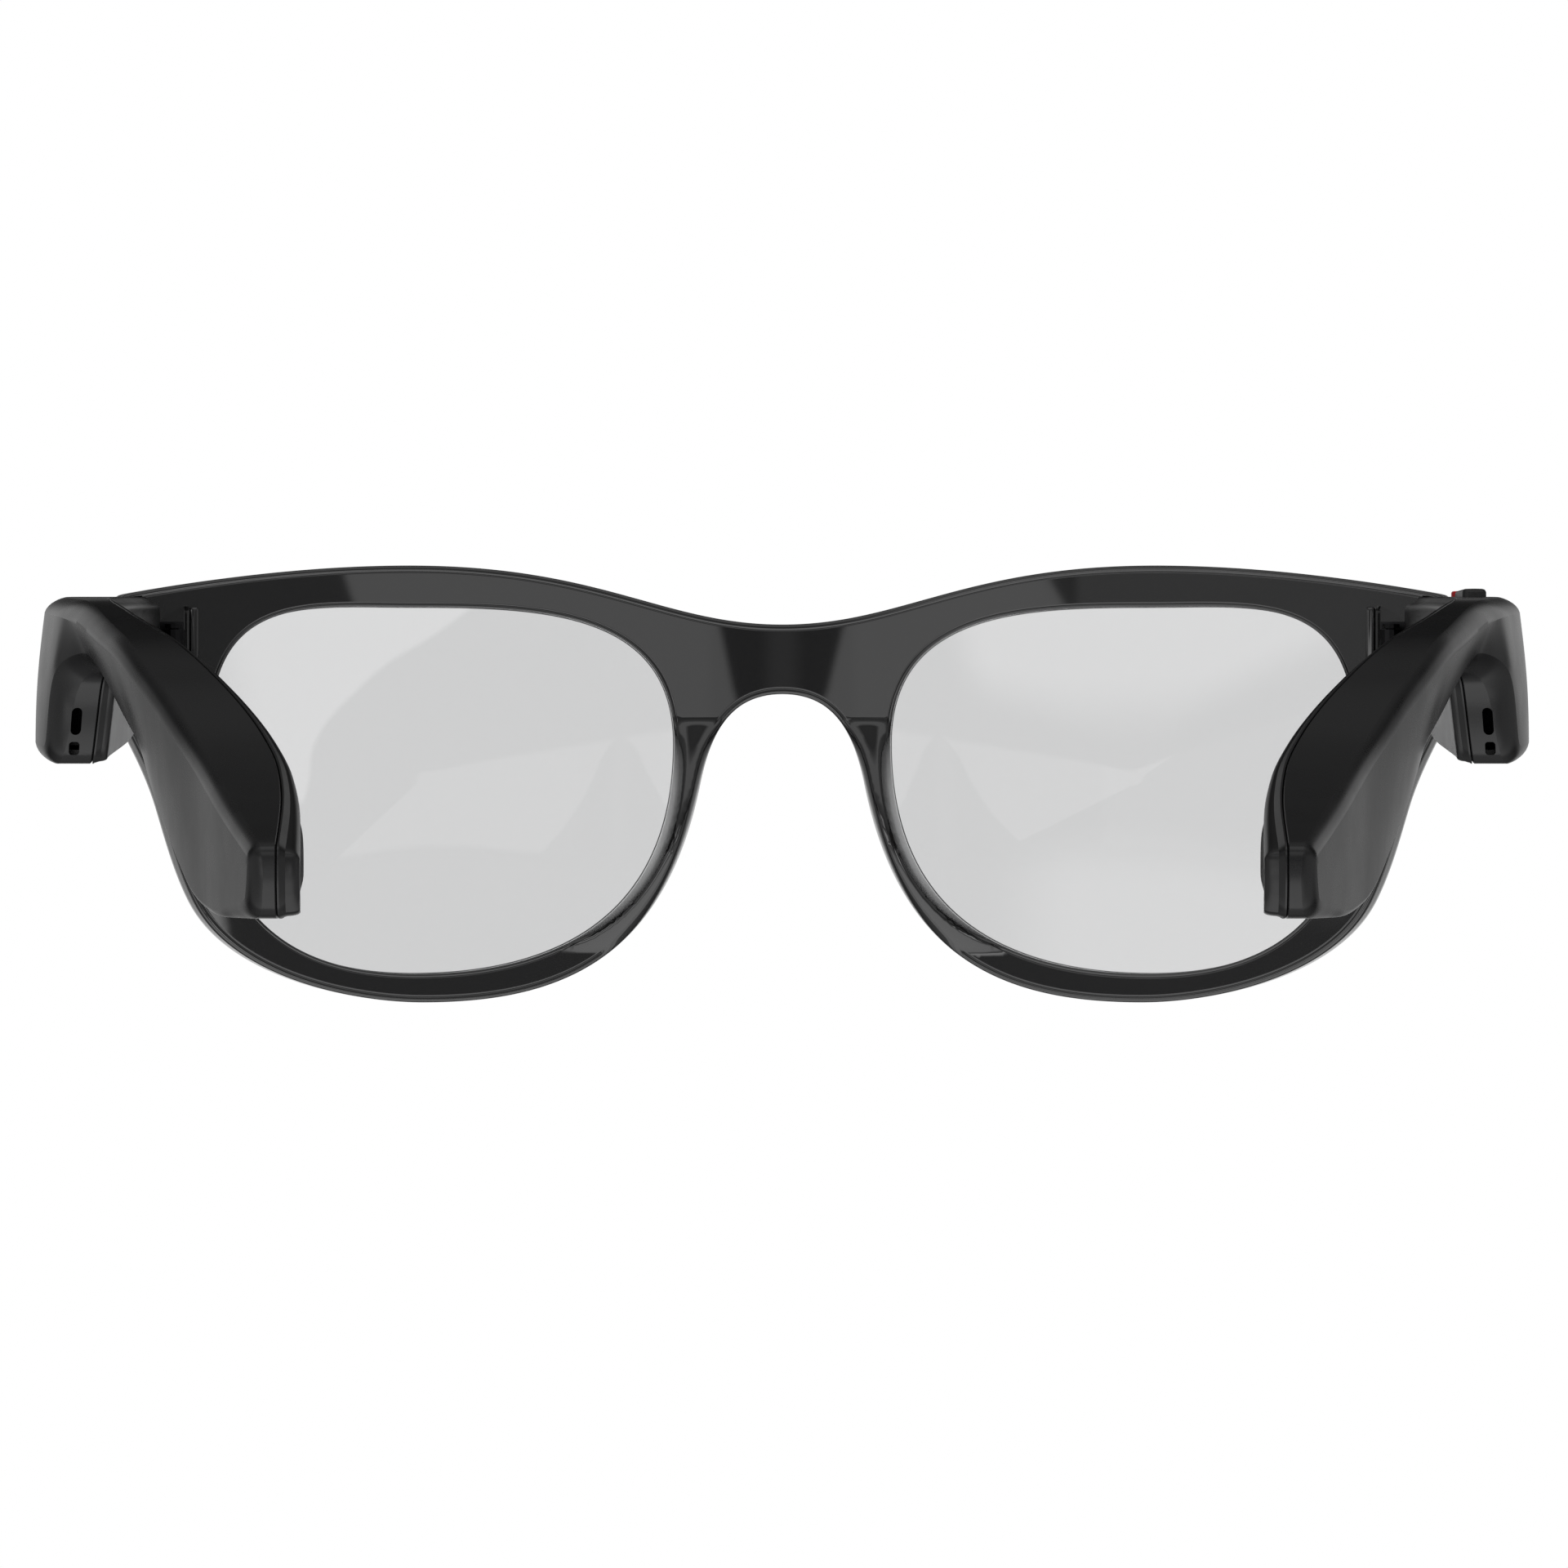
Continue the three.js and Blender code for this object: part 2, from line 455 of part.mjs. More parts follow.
add('front_frame', buildFront(), 'frame');
const lens = buildLens(), leaf = frameLeaf();
for (const [side, turn] of [['left', (b) => b], ['right', mirror]]) {
  const right = side === 'right';
  const put = (name, b, look) => add(`${side}_${name}`, turn(b), look);
  put('lens', lens, 'lens');
  put('frame_hinge_leaf', leaf, 'steel');
  frameLeafScrews.forEach((b, i) => put(`frame_leaf_screw_${i + 1}`, b, 'steel'));
  put('pivot_screw', pivotScrew, 'steel');
  put('temple_shell', templeShell(right), 'shell');
  put('inner_cover', innerCover(), 'cover');
  put('temple_hinge_leaf', templeLeaf(), 'steel');
  templeScrewSpots.forEach((y, i) => put(`temple_leaf_screw_${i + 1}`,
    screw(place([LEAF_U + 0.08, y, leafMid]), 'x', -1), 'steel'));
  put('tip_pad', loft(padStations.map((y) => padRing(y, 0))), 'pad');
  contactSpots.forEach((y, i) => put(`charge_contact_${i + 1}`, turned([[0.8, 0.05], [0.8, 1.85], [1.15, 1.85],
    [1.15, 2.2]], place([0, y, CONTACT_Z]), 'x'), 'gold'));
  magnetSpots.forEach((y, i) => put(`charge_magnet_${i + 1}`, turned([[1.4, 0.65], [1.4, 1.5]],
    place([0, y, CONTACT_Z]), 'x', 16), 'steel'));
  put('circuit_board', slab(2, 2.7, [35, 57], 31.7, 38.5), 'board');
  put('battery', slab(3.1, 5.4, [30.6, 56.8], 32, 38.4), 'cell');
  put('antenna', slab(1.85, 2.05, [24, 40, 56], 39.5, 41.1), 'film');
  put('speaker', slab(2, 4.8, [58.4, 68.4], 29.2, 37.4), 'part');
  put('speaker_duct', combine(slab(2.6, 4.3, [68.8, 71, 73, 75.6], 28.9, 32.3),
    { cut: [slab(3, 3.9, [68, 71, 73, 77], 29.3, 31.9)] }), 'pad');
  put('speaker_mesh', slab(2.7, 4.2, [75.9, 76.2], 28.8, 31.9), 'mesh');
  put('microphone', slab(2.9, 4.1, [71.6, 75.4], 27.6, 28.5), 'part');
  const ribbonU = (s) => (y) => (coverT(y) + thick(y) + flare(y) - wallT(y)) / 2 + s;
  put('flex_ribbon', slab(ribbonU(-0.1), ribbonU(0.1), [57.5, 64, 70, 76, 82, 88, 94, 100, 106, 110.5, 114.5],
    (y) => midZ(y) - 0.9, (y) => midZ(y) + 0.9), 'film');
  put('tip_battery', slab((y) => coverT(y) + 0.4, (y) => coverT(y) + 2.4, [117, 124, 132, 140],
    (y) => midZ(y) - 3, (y) => midZ(y) + 3), 'cell');
}

// controls, wearer's right
const swY = [ROCKER_Y - 4.2, ROCKER_Y + 4.2], boardTop = 39.4;
add('right_switch_board', mirror(slab(2.3, 5, [34, 54.5], boardTop - 0.5, boardTop)), 'board');
add('function_switch', mirror(slab(BUTTON_U - 1, BUTTON_U + 0.8, [BUTTON_Y - 1.2, BUTTON_Y + 1.2],
  boardTop + GAP, topZ(BUTTON_Y) - 2.62)), 'part');
swY.forEach((y, i) => add(`volume_switch_${i + 1}`, mirror(slab(BUTTON_U - 1, BUTTON_U + 0.8, [y - 1, y + 1],
  boardTop + GAP, topZ(ROCKER_Y) - 2.4)), 'part'));
const bt = topZ(BUTTON_Y), rt = topZ(ROCKER_Y);
add('function_button', mirror(turned([[1.5, bt - 2.1], [1.5, bt - 1.7], [BUTTON_R, bt - 1.7],
  [BUTTON_R, bt + BUTTON_PROUD - 0.2], [BUTTON_R - 0.2, bt + BUTTON_PROUD]],
place([BUTTON_U, BUTTON_Y, 0]), 'z', 24)), 'red');
const half = ROCKER_L / 2;
const keyRing = (u0, u1) => [[-half, -1.7], [-half, ROCKER_PROUD - 0.35], [-half + 0.6, ROCKER_PROUD],
  [half - 0.6, ROCKER_PROUD], [half, ROCKER_PROUD - 0.35], [half, -1.7], [half + 0.6, -1.7], [half + 0.6, -2.05],
  [-half - 0.6, -2.05], [-half - 0.6, -1.7]];
add('volume_rocker', mirror(combine(loft([-0.5, -0.42, 0.42, 0.5].map((f, i) => keyRing()
  .map(([y, z]) => place([BUTTON_U + f * ROCKER_W, ROCKER_Y + y, rt + z - (i % 3 ? 0 : z > 0 ? 0.2 : 0)])))),
{ add: [box(...[-1, 1].map((s) => place([BUTTON_U + s, ROCKER_Y, 0])[0]), ROCKER_Y - 0.4, ROCKER_Y + 0.4,
  boardTop + 0.3, rt - 2)] })), 'key');

const all = bodies.flatMap((b) => b.v);
const low = [0, 1, 2].map((e) => Math.min(...all.map((p) => p[e])));
const high = [0, 1, 2].map((e) => Math.max(...all.map((p) => p[e])));
const shift = [-(low[0] + high[0]) / 2, -(low[1] + high[1]) / 2, -low[2]];
for (const { name, v, t, look } of bodies) {
  const g = new THREE.BufferGeometry();
  g.setAttribute('position', new THREE.Float32BufferAttribute(v.flatMap((p) => p.map((s, e) => s + shift[e])), 3));
  g.setIndex(t.flat());
  g.computeVertexNormals();
  const [color, metalness, roughness] = finish[look];
  const m = new THREE.Mesh(g, new THREE.MeshStandardMaterial({ color, metalness, roughness }));
  m.name = name;
  group.add(m);
}
export default group;
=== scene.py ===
import json
import math
import bmesh
import bpy
import numpy as np
from mathutils import Matrix, Vector
from mathutils.geometry import delaunay_2d_cdt


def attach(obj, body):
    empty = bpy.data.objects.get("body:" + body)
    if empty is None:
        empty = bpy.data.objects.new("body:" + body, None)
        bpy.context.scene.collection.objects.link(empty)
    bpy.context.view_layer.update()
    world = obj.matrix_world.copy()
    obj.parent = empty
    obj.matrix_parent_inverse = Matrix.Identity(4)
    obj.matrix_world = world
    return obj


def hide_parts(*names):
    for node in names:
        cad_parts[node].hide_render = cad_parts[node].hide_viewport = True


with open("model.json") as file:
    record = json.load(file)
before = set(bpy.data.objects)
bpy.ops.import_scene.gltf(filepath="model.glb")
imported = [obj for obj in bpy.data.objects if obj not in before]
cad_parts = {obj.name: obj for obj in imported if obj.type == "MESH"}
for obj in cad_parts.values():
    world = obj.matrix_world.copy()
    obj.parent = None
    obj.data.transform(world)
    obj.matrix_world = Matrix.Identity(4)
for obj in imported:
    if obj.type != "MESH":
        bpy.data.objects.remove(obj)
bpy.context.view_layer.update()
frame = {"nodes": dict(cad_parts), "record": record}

# ---------------------------------------------------------------- placement
# Shapes are drawn as worn, in millimetres: x sideways, y rearward from the front, z up. The left temple
# is drawn, and the right one is its mirror image. The fold joint's axis gives the tilt at which the open
# glasses rest on the floor, and its place gives the shift.
fold = next(j for j in frame["record"]["behaviour"]["joints"] if j["name"] == "left_temple_fold")
TILT_SIN, TILT_COS = fold["axis"][1], fold["axis"][2]
PIN_Y, PIN_Z = 6.7, 36.0
SHIFT_Y = fold["pos_m"][1] * 1000 - (PIN_Y * TILT_COS + PIN_Z * TILT_SIN)
SHIFT_Z = fold["pos_m"][2] * 1000 - (-PIN_Y * TILT_SIN + PIN_Z * TILT_COS)
SIDES = ((False, "left"), (True, "right"))


def to_frame(p):
    """worn millimetres to the frame's metres"""
    p = np.asarray(p, float)
    x, y, z = p[..., 0], p[..., 1], p[..., 2]
    along, up = y * TILT_COS + z * TILT_SIN + SHIFT_Y, -y * TILT_SIN + z * TILT_COS + SHIFT_Z
    return np.stack([x, along, up], -1) / 1000


def curve(*knots):
    """smooth curve through the knots without overshoot, straight before the first and level after the last"""
    at, value = np.array([k[0] for k in knots], float), np.array([k[1] for k in knots], float)
    d = np.diff(value) / np.diff(at)
    inner = [0 if a * b <= 0 else 2 * a * b / (a + b) for a, b in zip(d[:-1], d[1:])]
    slope = np.array([d[0]] + inner + [d[-1]])

    def f(x):
        x = np.minimum(np.asarray(x, float), at[-1])
        i = np.clip(np.searchsorted(at, x) - 1, 0, len(at) - 2)
        h = at[i + 1] - at[i]
        t = (x - at[i]) / h
        c = ((1 - t) ** 2 * (1 + 2 * t) * value[i] + t * (1 - t) ** 2 * h * slope[i]
             + t * t * (3 - 2 * t) * value[i + 1] - t * t * (1 - t) * h * slope[i + 1])
        return np.where(x <= at[0], value[0] + slope[0] * (x - at[0]), c)
    return f


def step(a, b, x):
    """0 below a, 1 above b, smooth between"""
    t = np.clip((np.asarray(x, float) - a) / (b - a), 0, 1)
    return t * t * (3 - 2 * t)


# ---------------------------------------------------------------- planar tools
def resample(p, gap):
    """closed outline with evenly spaced points"""
    p = np.asarray(p, float)
    q = np.vstack([p, p[:1]])
    s = np.concatenate([[0], np.cumsum(np.hypot(*np.diff(q, axis=0).T))])
    keep = np.concatenate([[True], np.diff(s) > 1e-9])
    q, s = q[keep], s[keep]
    t = np.linspace(0, s[-1], max(8, round(s[-1] / gap)), endpoint=False)
    return np.stack([np.interp(t, s, q[:, 0]), np.interp(t, s, q[:, 1])], 1)


def soften(p, passes):
    """rounds an outline's corners; works on any closed row of values"""
    for _ in range(passes):
        p = 0.25 * np.roll(p, 1, 0) + 0.5 * p + 0.25 * np.roll(p, -1, 0)
    return p


def area(p):
    """signed area, positive when the outline runs anticlockwise"""
    q = np.roll(p, -1, 0)
    return 0.5 * np.sum(p[:, 0] * q[:, 1] - q[:, 0] * p[:, 1])


def ccw(p):
    return p if area(p) > 0 else p[::-1].copy()


def inward(p):
    """unit normals pointing into an anticlockwise outline"""
    d = np.roll(p, -1, 0) - np.roll(p, 1, 0)
    d /= np.hypot(*d.T)[:, None]
    return np.stack([-d[:, 1], d[:, 0]], 1)


def inside(p, loop):
    """which points lie inside the outline, by counting crossings"""
    out = np.zeros(len(p), bool)
    a, b = loop, np.roll(loop, -1, 0)
    for i in range(0, len(p), 4000):
        q = p[i:i + 4000]
        x, y = q[:, :1], q[:, 1:]
        hit = (a[:, 1] > y) != (b[:, 1] > y)
        dy = np.where(b[:, 1] == a[:, 1], 1, b[:, 1] - a[:, 1])
        out[i:i + 4000] = (hit & (x < (b[:, 0] - a[:, 0]) * (y - a[:, 1]) / dy + a[:, 0])).sum(1) % 2 == 1
    return out


def field(p, loop, w):
    """distance from each point to the loop over the local width w, and the nearest loop index"""
    w = np.broadcast_to(np.asarray(w, float), (len(loop),))
    n, t, idx = len(loop), np.empty(len(p)), np.empty(len(p))
    for i in range(0, len(p), 2000):
        q = p[i:i + 2000]
        j = np.argmin(((q[:, None] - loop) ** 2).sum(-1) / w ** 2, 1)
        best, bi = np.full(len(q), 1e9), np.zeros(len(q))
        for a in (j - 1, j):
            a = a % n
            b = (a + 1) % n
            e = loop[b] - loop[a]
            f = np.clip(((q - loop[a]) * e).sum(1) / np.maximum((e * e).sum(1), 1e-12), 0, 1)
            d = np.hypot(*(q - loop[a] - e * f[:, None]).T) / (w[a] * (1 - f) + w[b] * f)
            hit = d < best
            best, bi = np.where(hit, d, best), np.where(hit, a + f, bi)
        t[i:i + 2000], idx[i:i + 2000] = best, bi
    return t, idx


def lookup(v, idx):
    """values along a loop at fractional indices"""
    i = np.floor(idx).astype(int)
    f = idx - i
    return v[i % len(v)] * (1 - f) + v[(i + 1) % len(v)] * f


def ring(loop, w, t):
    """loop moved inwards by t times its local width, without the parts that fold over"""
    w = np.broadcast_to(np.asarray(w, float), (len(loop),))
    p = loop + inward(loop) * (w * t)[:, None]
    q, _ = field(p, loop, w)
    return p[(q > t * 0.985) & inside(p, loop)]


def grid(loop, gap):
    """staggered points inside the outline"""
    lo, hi = loop.min(0), loop.max(0)
    rows = []
    for k, y in enumerate(np.arange(lo[1], hi[1], gap * 0.87)):
        x = np.arange(lo[0] + (k % 2) * gap / 2, hi[0], gap)
        rows.append(np.stack([x, np.full(len(x), y)], 1))
    p = np.vstack(rows)
    return p[inside(p, loop)]


def fill(loops, holes=(), rings=(), points=None):
    """triangulates the area inside the loops and outside the holes; rings are kept as edges"""
    v, e, k = [], [], 0
    for q in [*loops, *holes, *rings]:
        v.append(q)
        e += [(k + i, k + (i + 1) % len(q)) for i in range(len(q))]
        k += len(q)
    if points is not None and len(points):
        v.append(points)
    out = delaunay_2d_cdt([Vector(c) for c in np.vstack(v)], e, [], 0, 1e-7)
    co, fa = np.array([tuple(c) for c in out[0]]), np.array(out[2])
    mid = co[fa].mean(1)
    keep = np.zeros(len(mid), bool)
    for q in loops:
        keep |= inside(mid, q)
    for q in holes:
        keep &= ~inside(mid, q)
    return co, fa[keep]


WELD = 2e-6
SHARP_ANGLE, FRONT_SHARP_ANGLE = 32, 62


def mark_sharp(bm, angle):
    """marks the edges that bend by more than the angle"""
    for e in bm.edges:
        if len(e.link_faces) == 2 and e.calc_face_angle(0) > math.radians(angle):
            e.smooth = False


class Build:
    """collects patches in worn millimetres and welds them into one mesh"""

    def __init__(self):
        self.v, self.f, self.c, self.n = [], [], [], 0

    def patch(self, v, f, crease=None):
        self.v.append(np.asarray(v, float))
        self.c.append(np.zeros(len(v)) if crease is None else np.asarray(crease, float))
        self.f += [tuple(int(i) + self.n for i in t) for t in f]
        self.n += len(v)

    def strip(self, rows, crease=()):
        """joins closed rows of equal length by quads; crease lists the rows that are sharp edges"""
        n = len(rows[0])
        f = [(a * n + i, a * n + (i + 1) % n, (a + 1) * n + (i + 1) % n, (a + 1) * n + i)
             for a in range(len(rows) - 1) for i in range(n)]
        c = np.concatenate([np.full(n, 1.0 if a in crease else 0.0) for a in range(len(rows))])
        self.patch(np.vstack(rows), f, c)

    def cap(self, row):
        """closes a row with one face"""
        self.patch(row, [tuple(range(len(row)))])

    def fan(self, row, tip):
        """closes a row with triangles to one point"""
        n = len(row)
        self.patch(np.vstack([row, [tip]]), [(i, (i + 1) % n, n) for i in range(n)])

    def mesh(self, name, mirror=False, angle=SHARP_ANGLE, warp=None):
        v = np.vstack(self.v)
        if warp is not None:
            v = warp(v)
        if mirror:
            v = v * np.array([-1, 1, 1])
        me = bpy.data.meshes.new(name)
        me.from_pydata(to_frame(v).tolist(), [], self.f)
        bm = bmesh.new()
        bm.from_mesh(me)
        mark = bm.verts.layers.float.new("crease_mark")
        bm.verts.ensure_lookup_table()
        for vert, c in zip(bm.verts, np.concatenate(self.c)):
            vert[mark] = c
        bmesh.ops.remove_doubles(bm, verts=bm.verts, dist=WELD)
        bmesh.ops.dissolve_degenerate(bm, dist=1e-7, edges=bm.edges)
        bmesh.ops.recalc_face_normals(bm, faces=bm.faces)
        for f in bm.faces:
            f.smooth = True
        mark_sharp(bm, angle)
        for e in bm.edges:
            a, b = (vert[mark] for vert in e.verts)
            if a > 0.5 and abs(a - b) < 0.01:
                e.smooth = False
        bm.to_mesh(me)
        bm.free()
        return me


def put(name, me, mat, body, replaces):
    """adds a piece that rides on a body and stands for CAD nodes"""
    ob = bpy.data.objects.new(name, me)
    bpy.context.scene.collection.objects.link(ob)
    me.materials.clear()
    me.materials.append(mat)
    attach(ob, body)
    if replaces:
        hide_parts(*replaces)


def carve(me, cutters, angle=SHARP_ANGLE):
    """cuts closed meshes out of a mesh"""
    ob = bpy.data.objects.new("carve", me)
    bpy.context.scene.collection.objects.link(ob)
    tools = []
    for i, c in enumerate(cutters):
        t = bpy.data.objects.new(f"cutter_{i}", c)
        bpy.context.scene.collection.objects.link(t)
        tools.append(t)
        m = ob.modifiers.new(f"cut_{i}", "BOOLEAN")
        m.operation, m.object, m.solver = "DIFFERENCE", t, "EXACT"
    bpy.context.view_layer.update()
    out = bpy.data.meshes.new_from_object(ob.evaluated_get(bpy.context.evaluated_depsgraph_get()))
    name = me.name
    for o in [ob, *tools]:
        old = o.data
        bpy.data.objects.remove(o)
        bpy.data.meshes.remove(old)
    out.name = name
    bm = bmesh.new()
    bm.from_mesh(out)
    mark_sharp(bm, angle)
    bm.to_mesh(out)
    bm.free()
    return out


Y_AXIS, Z_AXIS = 1, 2


def prism(loop, a, b, axis, mirror):
    """closed extrusion of a small loop between two stations along an axis, in worn millimetres"""
    ends = [np.insert(loop, axis, station, axis=1) for station in (a, b)]
    block = Build()
    block.strip(ends)
    block.cap(ends[0][::-1])
    block.cap(ends[1])
    return block.mesh("prism", mirror=mirror)


def stadium(cx, cy, w, h, r, n=8):
    """rectangle with round corners of n steps, a circle when r is half of each side"""
    r = min(r, w / 2, h / 2) * 0.999
    out = []
    for k, (sx, sy) in enumerate([(1, 1), (-1, 1), (-1, -1), (1, -1)]):
        for i in range(n + 1):
            a = math.pi / 2 * (k + i / n)
            out.append((cx + sx * (w / 2 - r) + r * math.cos(a), cy + sy * (h / 2 - r) + r * math.sin(a)))
    return np.array(out)


# ---------------------------------------------------------------- materials
MOTTLE = 0.06
FINE_GRAIN, FINE_DEPTH = 9000.0, 0.00001


def plastic(name, base, rough, grain=None, grain_depth=FINE_DEPTH, coat=0.0, spec=0.5):
    """moulded plastic with a faint mottle, and a visible grain where one is given"""
    m = bpy.data.materials.new(name)
    m.use_nodes = True
    nt = m.node_tree
    shader = nt.nodes["Principled BSDF"]
    for socket, value in (("Roughness", rough), ("Specular IOR Level", spec), ("Coat Weight", coat),
                          ("Coat Roughness", 0.02), ("Coat IOR", 1.7)):
        shader.inputs[socket].default_value = value
    coords, patches, shades, spread, pits, bump = (nt.nodes.new(k) for k in (
        "ShaderNodeTexCoord", "ShaderNodeTexNoise", "ShaderNodeValToRGB", "ShaderNodeMapRange",
        "ShaderNodeTexNoise", "ShaderNodeBump"))
    patches.inputs["Scale"].default_value = 260.0
    patches.inputs["Detail"].default_value = 4.0
    for element, at, shade in zip(shades.color_ramp.elements, (0.3, 0.7), (1 - MOTTLE, 1 + MOTTLE)):
        element.position = at
        element.color = (*[c * shade for c in base], 1)
    for socket, value in (("From Min", 0.3), ("From Max", 0.7), ("To Min", rough * 0.93),
                          ("To Max", rough * 1.07)):
        spread.inputs[socket].default_value = value
    pits.inputs["Scale"].default_value = grain or FINE_GRAIN
    pits.inputs["Detail"].default_value = 2.0
    bump.inputs["Strength"].default_value = 0.35 if grain else 0.12
    bump.inputs["Distance"].default_value = grain_depth
    for out, into in ((coords.outputs["Object"], patches.inputs["Vector"]),
                      (patches.outputs["Fac"], shades.inputs["Fac"]),
                      (shades.outputs["Color"], shader.inputs["Base Color"]),
                      (patches.outputs["Fac"], spread.inputs["Value"]),
                      (spread.outputs["Result"], shader.inputs["Roughness"]),
                      (coords.outputs["Object"], pits.inputs["Vector"]),
                      (pits.outputs["Fac"], bump.inputs["Height"]),
                      (bump.outputs["Normal"], shader.inputs["Normal"])):
        nt.links.new(out, into)
    return m


def metal(name, base, rough, scale=3000.0, stretch=(1, 1, 12)):
    """metal whose roughness varies in fine streaks"""
    m = bpy.data.materials.new(name)
    m.use_nodes = True
    nt = m.node_tree
    b = nt.nodes["Principled BSDF"]
    b.inputs["Metallic"].default_value = 1.0
    b.inputs["Base Color"].default_value = (*base, 1)
    co, mp, n = (nt.nodes.new(k) for k in ("ShaderNodeTexCoord", "ShaderNodeMapping", "ShaderNodeTexNoise"))
    mp.inputs["Scale"].default_value = stretch
    n.inputs["Scale"].default_value = scale
    nt.links.new(co.outputs["Object"], mp.inputs["Vector"])
    nt.links.new(mp.outputs["Vector"], n.inputs["Vector"])
    mr = nt.nodes.new("ShaderNodeMapRange")
    mr.inputs["To Min"].default_value, mr.inputs["To Max"].default_value = rough * 0.7, rough * 1.3
    nt.links.new(n.outputs["Fac"], mr.inputs["Value"])
    nt.links.new(mr.outputs["Result"], b.inputs["Roughness"])
    return m


def glass(name):
    """slightly grey clear glass, a little uneven"""
    m = bpy.data.materials.new(name)
    m.use_nodes = True
    nt = m.node_tree
    b = nt.nodes["Principled BSDF"]
    b.inputs["Base Color"].default_value = (0.64, 0.642, 0.645, 1)
    b.inputs["Roughness"].default_value = 0.0
    b.inputs["IOR"].default_value = 1.5
    b.inputs["Transmission Weight"].default_value = 1.0
    co, n, bump = (nt.nodes.new(k) for k in ("ShaderNodeTexCoord", "ShaderNodeTexNoise", "ShaderNodeBump"))
    n.inputs["Scale"].default_value = 30.0
    bump.inputs["Strength"].default_value = 0.02
    bump.inputs["Distance"].default_value = 0.0001
    nt.links.new(co.outputs["Object"], n.inputs["Vector"])
    nt.links.new(n.outputs["Fac"], bump.inputs["Height"])
    nt.links.new(bump.outputs["Normal"], b.inputs["Normal"])
    return m


FRAME = plastic("front_black", (0.004, 0.004, 0.0044), 0.5, grain=5200.0, grain_depth=0.00006,
                coat=1.0, spec=0.15)
SHELL = plastic("temple_black", (0.007, 0.007, 0.0075), 0.28, spec=0.5)
COVER = plastic("cover_black", (0.007, 0.007, 0.0075), 0.3)
PAD = plastic("tip_rubber", (0.012, 0.012, 0.0125), 0.7, grain=3600.0, grain_depth=0.00012)
RED = plastic("red_plastic", (0.62, 0.003, 0.006), 0.35)
KEY = plastic("key_black", (0.006, 0.006, 0.0065), 0.38)
STEEL = metal("dark_steel", (0.02, 0.02, 0.021), 0.42)
GOLD = metal("gold_plate", (0.83, 0.6, 0.25), 0.22)
NICKEL = metal("nickel", (0.6, 0.58, 0.54), 0.25)
MESH = metal("fine_mesh", (0.01, 0.01, 0.011), 0.7, 9000.0, (1, 1, 1))
BOARD = plastic("solder_mask", (0.02, 0.12, 0.06), 0.35)
CELL = metal("battery_foil", (0.55, 0.56, 0.58), 0.4)
FILM = plastic("amber_film", (0.35, 0.15, 0.03), 0.3)
PART = plastic("small_black", (0.01, 0.01, 0.01), 0.5)
GLASS = glass("clear_lens")

# ---------------------------------------------------------------- front
# The front is drawn flat, x sideways and z up, with y as its height over the rear face, and then bent.
THICK, BEND, REAR_Y = 4.5, 250.0, -4.0
HALF, LUG_FOOT, ARCH_TOP = 71.5, 32.5, 33.5


def flat(x):
    """distance along the bent front for a sideways place"""
    return BEND * np.arcsin(np.asarray(x, float) / BEND)


def wrap(p):
    """bends the flat front to its radius"""
    a, r = p[:, 0] / BEND, BEND - p[:, 1]
    return np.stack([r * np.sin(a), REAR_Y + BEND - r * np.cos(a), p[:, 2]], 1)


def chain(knots, reach):
    """Bezier curves through knots of place and heading, with each curve's two handle lengths"""
    out = []
    t = np.linspace(0, 1, 60, endpoint=False)[:, None]
    for (x0, z0, a0), (x1, z1, a1), (r0, r1) in zip(knots[:-1], knots[1:], reach):
        a0, a1 = math.radians(a0), math.radians(a1)
        p = [np.array(q) for q in ((x0, z0), (x0 + r0 * math.cos(a0), z0 + r0 * math.sin(a0)),
                                   (x1 - r1 * math.cos(a1), z1 - r1 * math.sin(a1)), (x1, z1))]
        out.append((1 - t) ** 3 * p[0] + 3 * (1 - t) ** 2 * t * p[1]
                   + 3 * (1 - t) * t * t * p[2] + t ** 3 * p[3])
    q = np.vstack(out)
    return np.stack([flat(q[:, 0]), q[:, 1]], 1)


half = chain([[0, 41.05, 0], [40, 47.4, 0], [HALF - 1, 44.2, -11], [HALF, 43, -90], [HALF, LUG_FOOT, -90],
              [66.8, 21, -106], [63.4, 11, -116], [38.8, 0, 180], [8.9, 23.7, 101.3], [0, ARCH_TOP, 180]],
             [[12.9, 20.5], [10, 10], [0.6, 0.6], [1, 1], [1.6, 6], [3.5, 3.5], [9.1, 7.9], [13.6, 20.4],
              [5.6, 5.7]])
outer = np.vstack([half, [[0, ARCH_TOP]], (half[1:] * [-1, 1])[::-1]])
outer = ccw(soften(resample(outer, 0.55), 1))
eye = chain([[40, 42.9, 180], [11.75, 28.1, -90], [39.6, 3.1, 0], [61.7, 28.7, 90], [40, 42.9, 180]],
            [[13.1, 14.9], [17.1, 17.4], [22, 9], [15.6, 11.6]])
eye = ccw(resample(eye, 0.55))
eyes = [eye, ccw(eye * [-1, 1])]


PAD_TOP, PAD_LENGTH, PAD_RISE = 30.5, 25, 4.7
FINE_HALF, FINE_TOP = 29, 32
REAR_EDGE, REAR_EYE_EDGE, FACE_EDGE, FACE_EYE_EDGE = 0.3, 0.15, 0.8, 0.4


def rim_distances(p):
    """distances from each point to the front's outline and to the nearer lens opening"""
    return field(p, outer, 1.0)[0], np.minimum(*(field(p, q, 1.0)[0] for q in eyes))


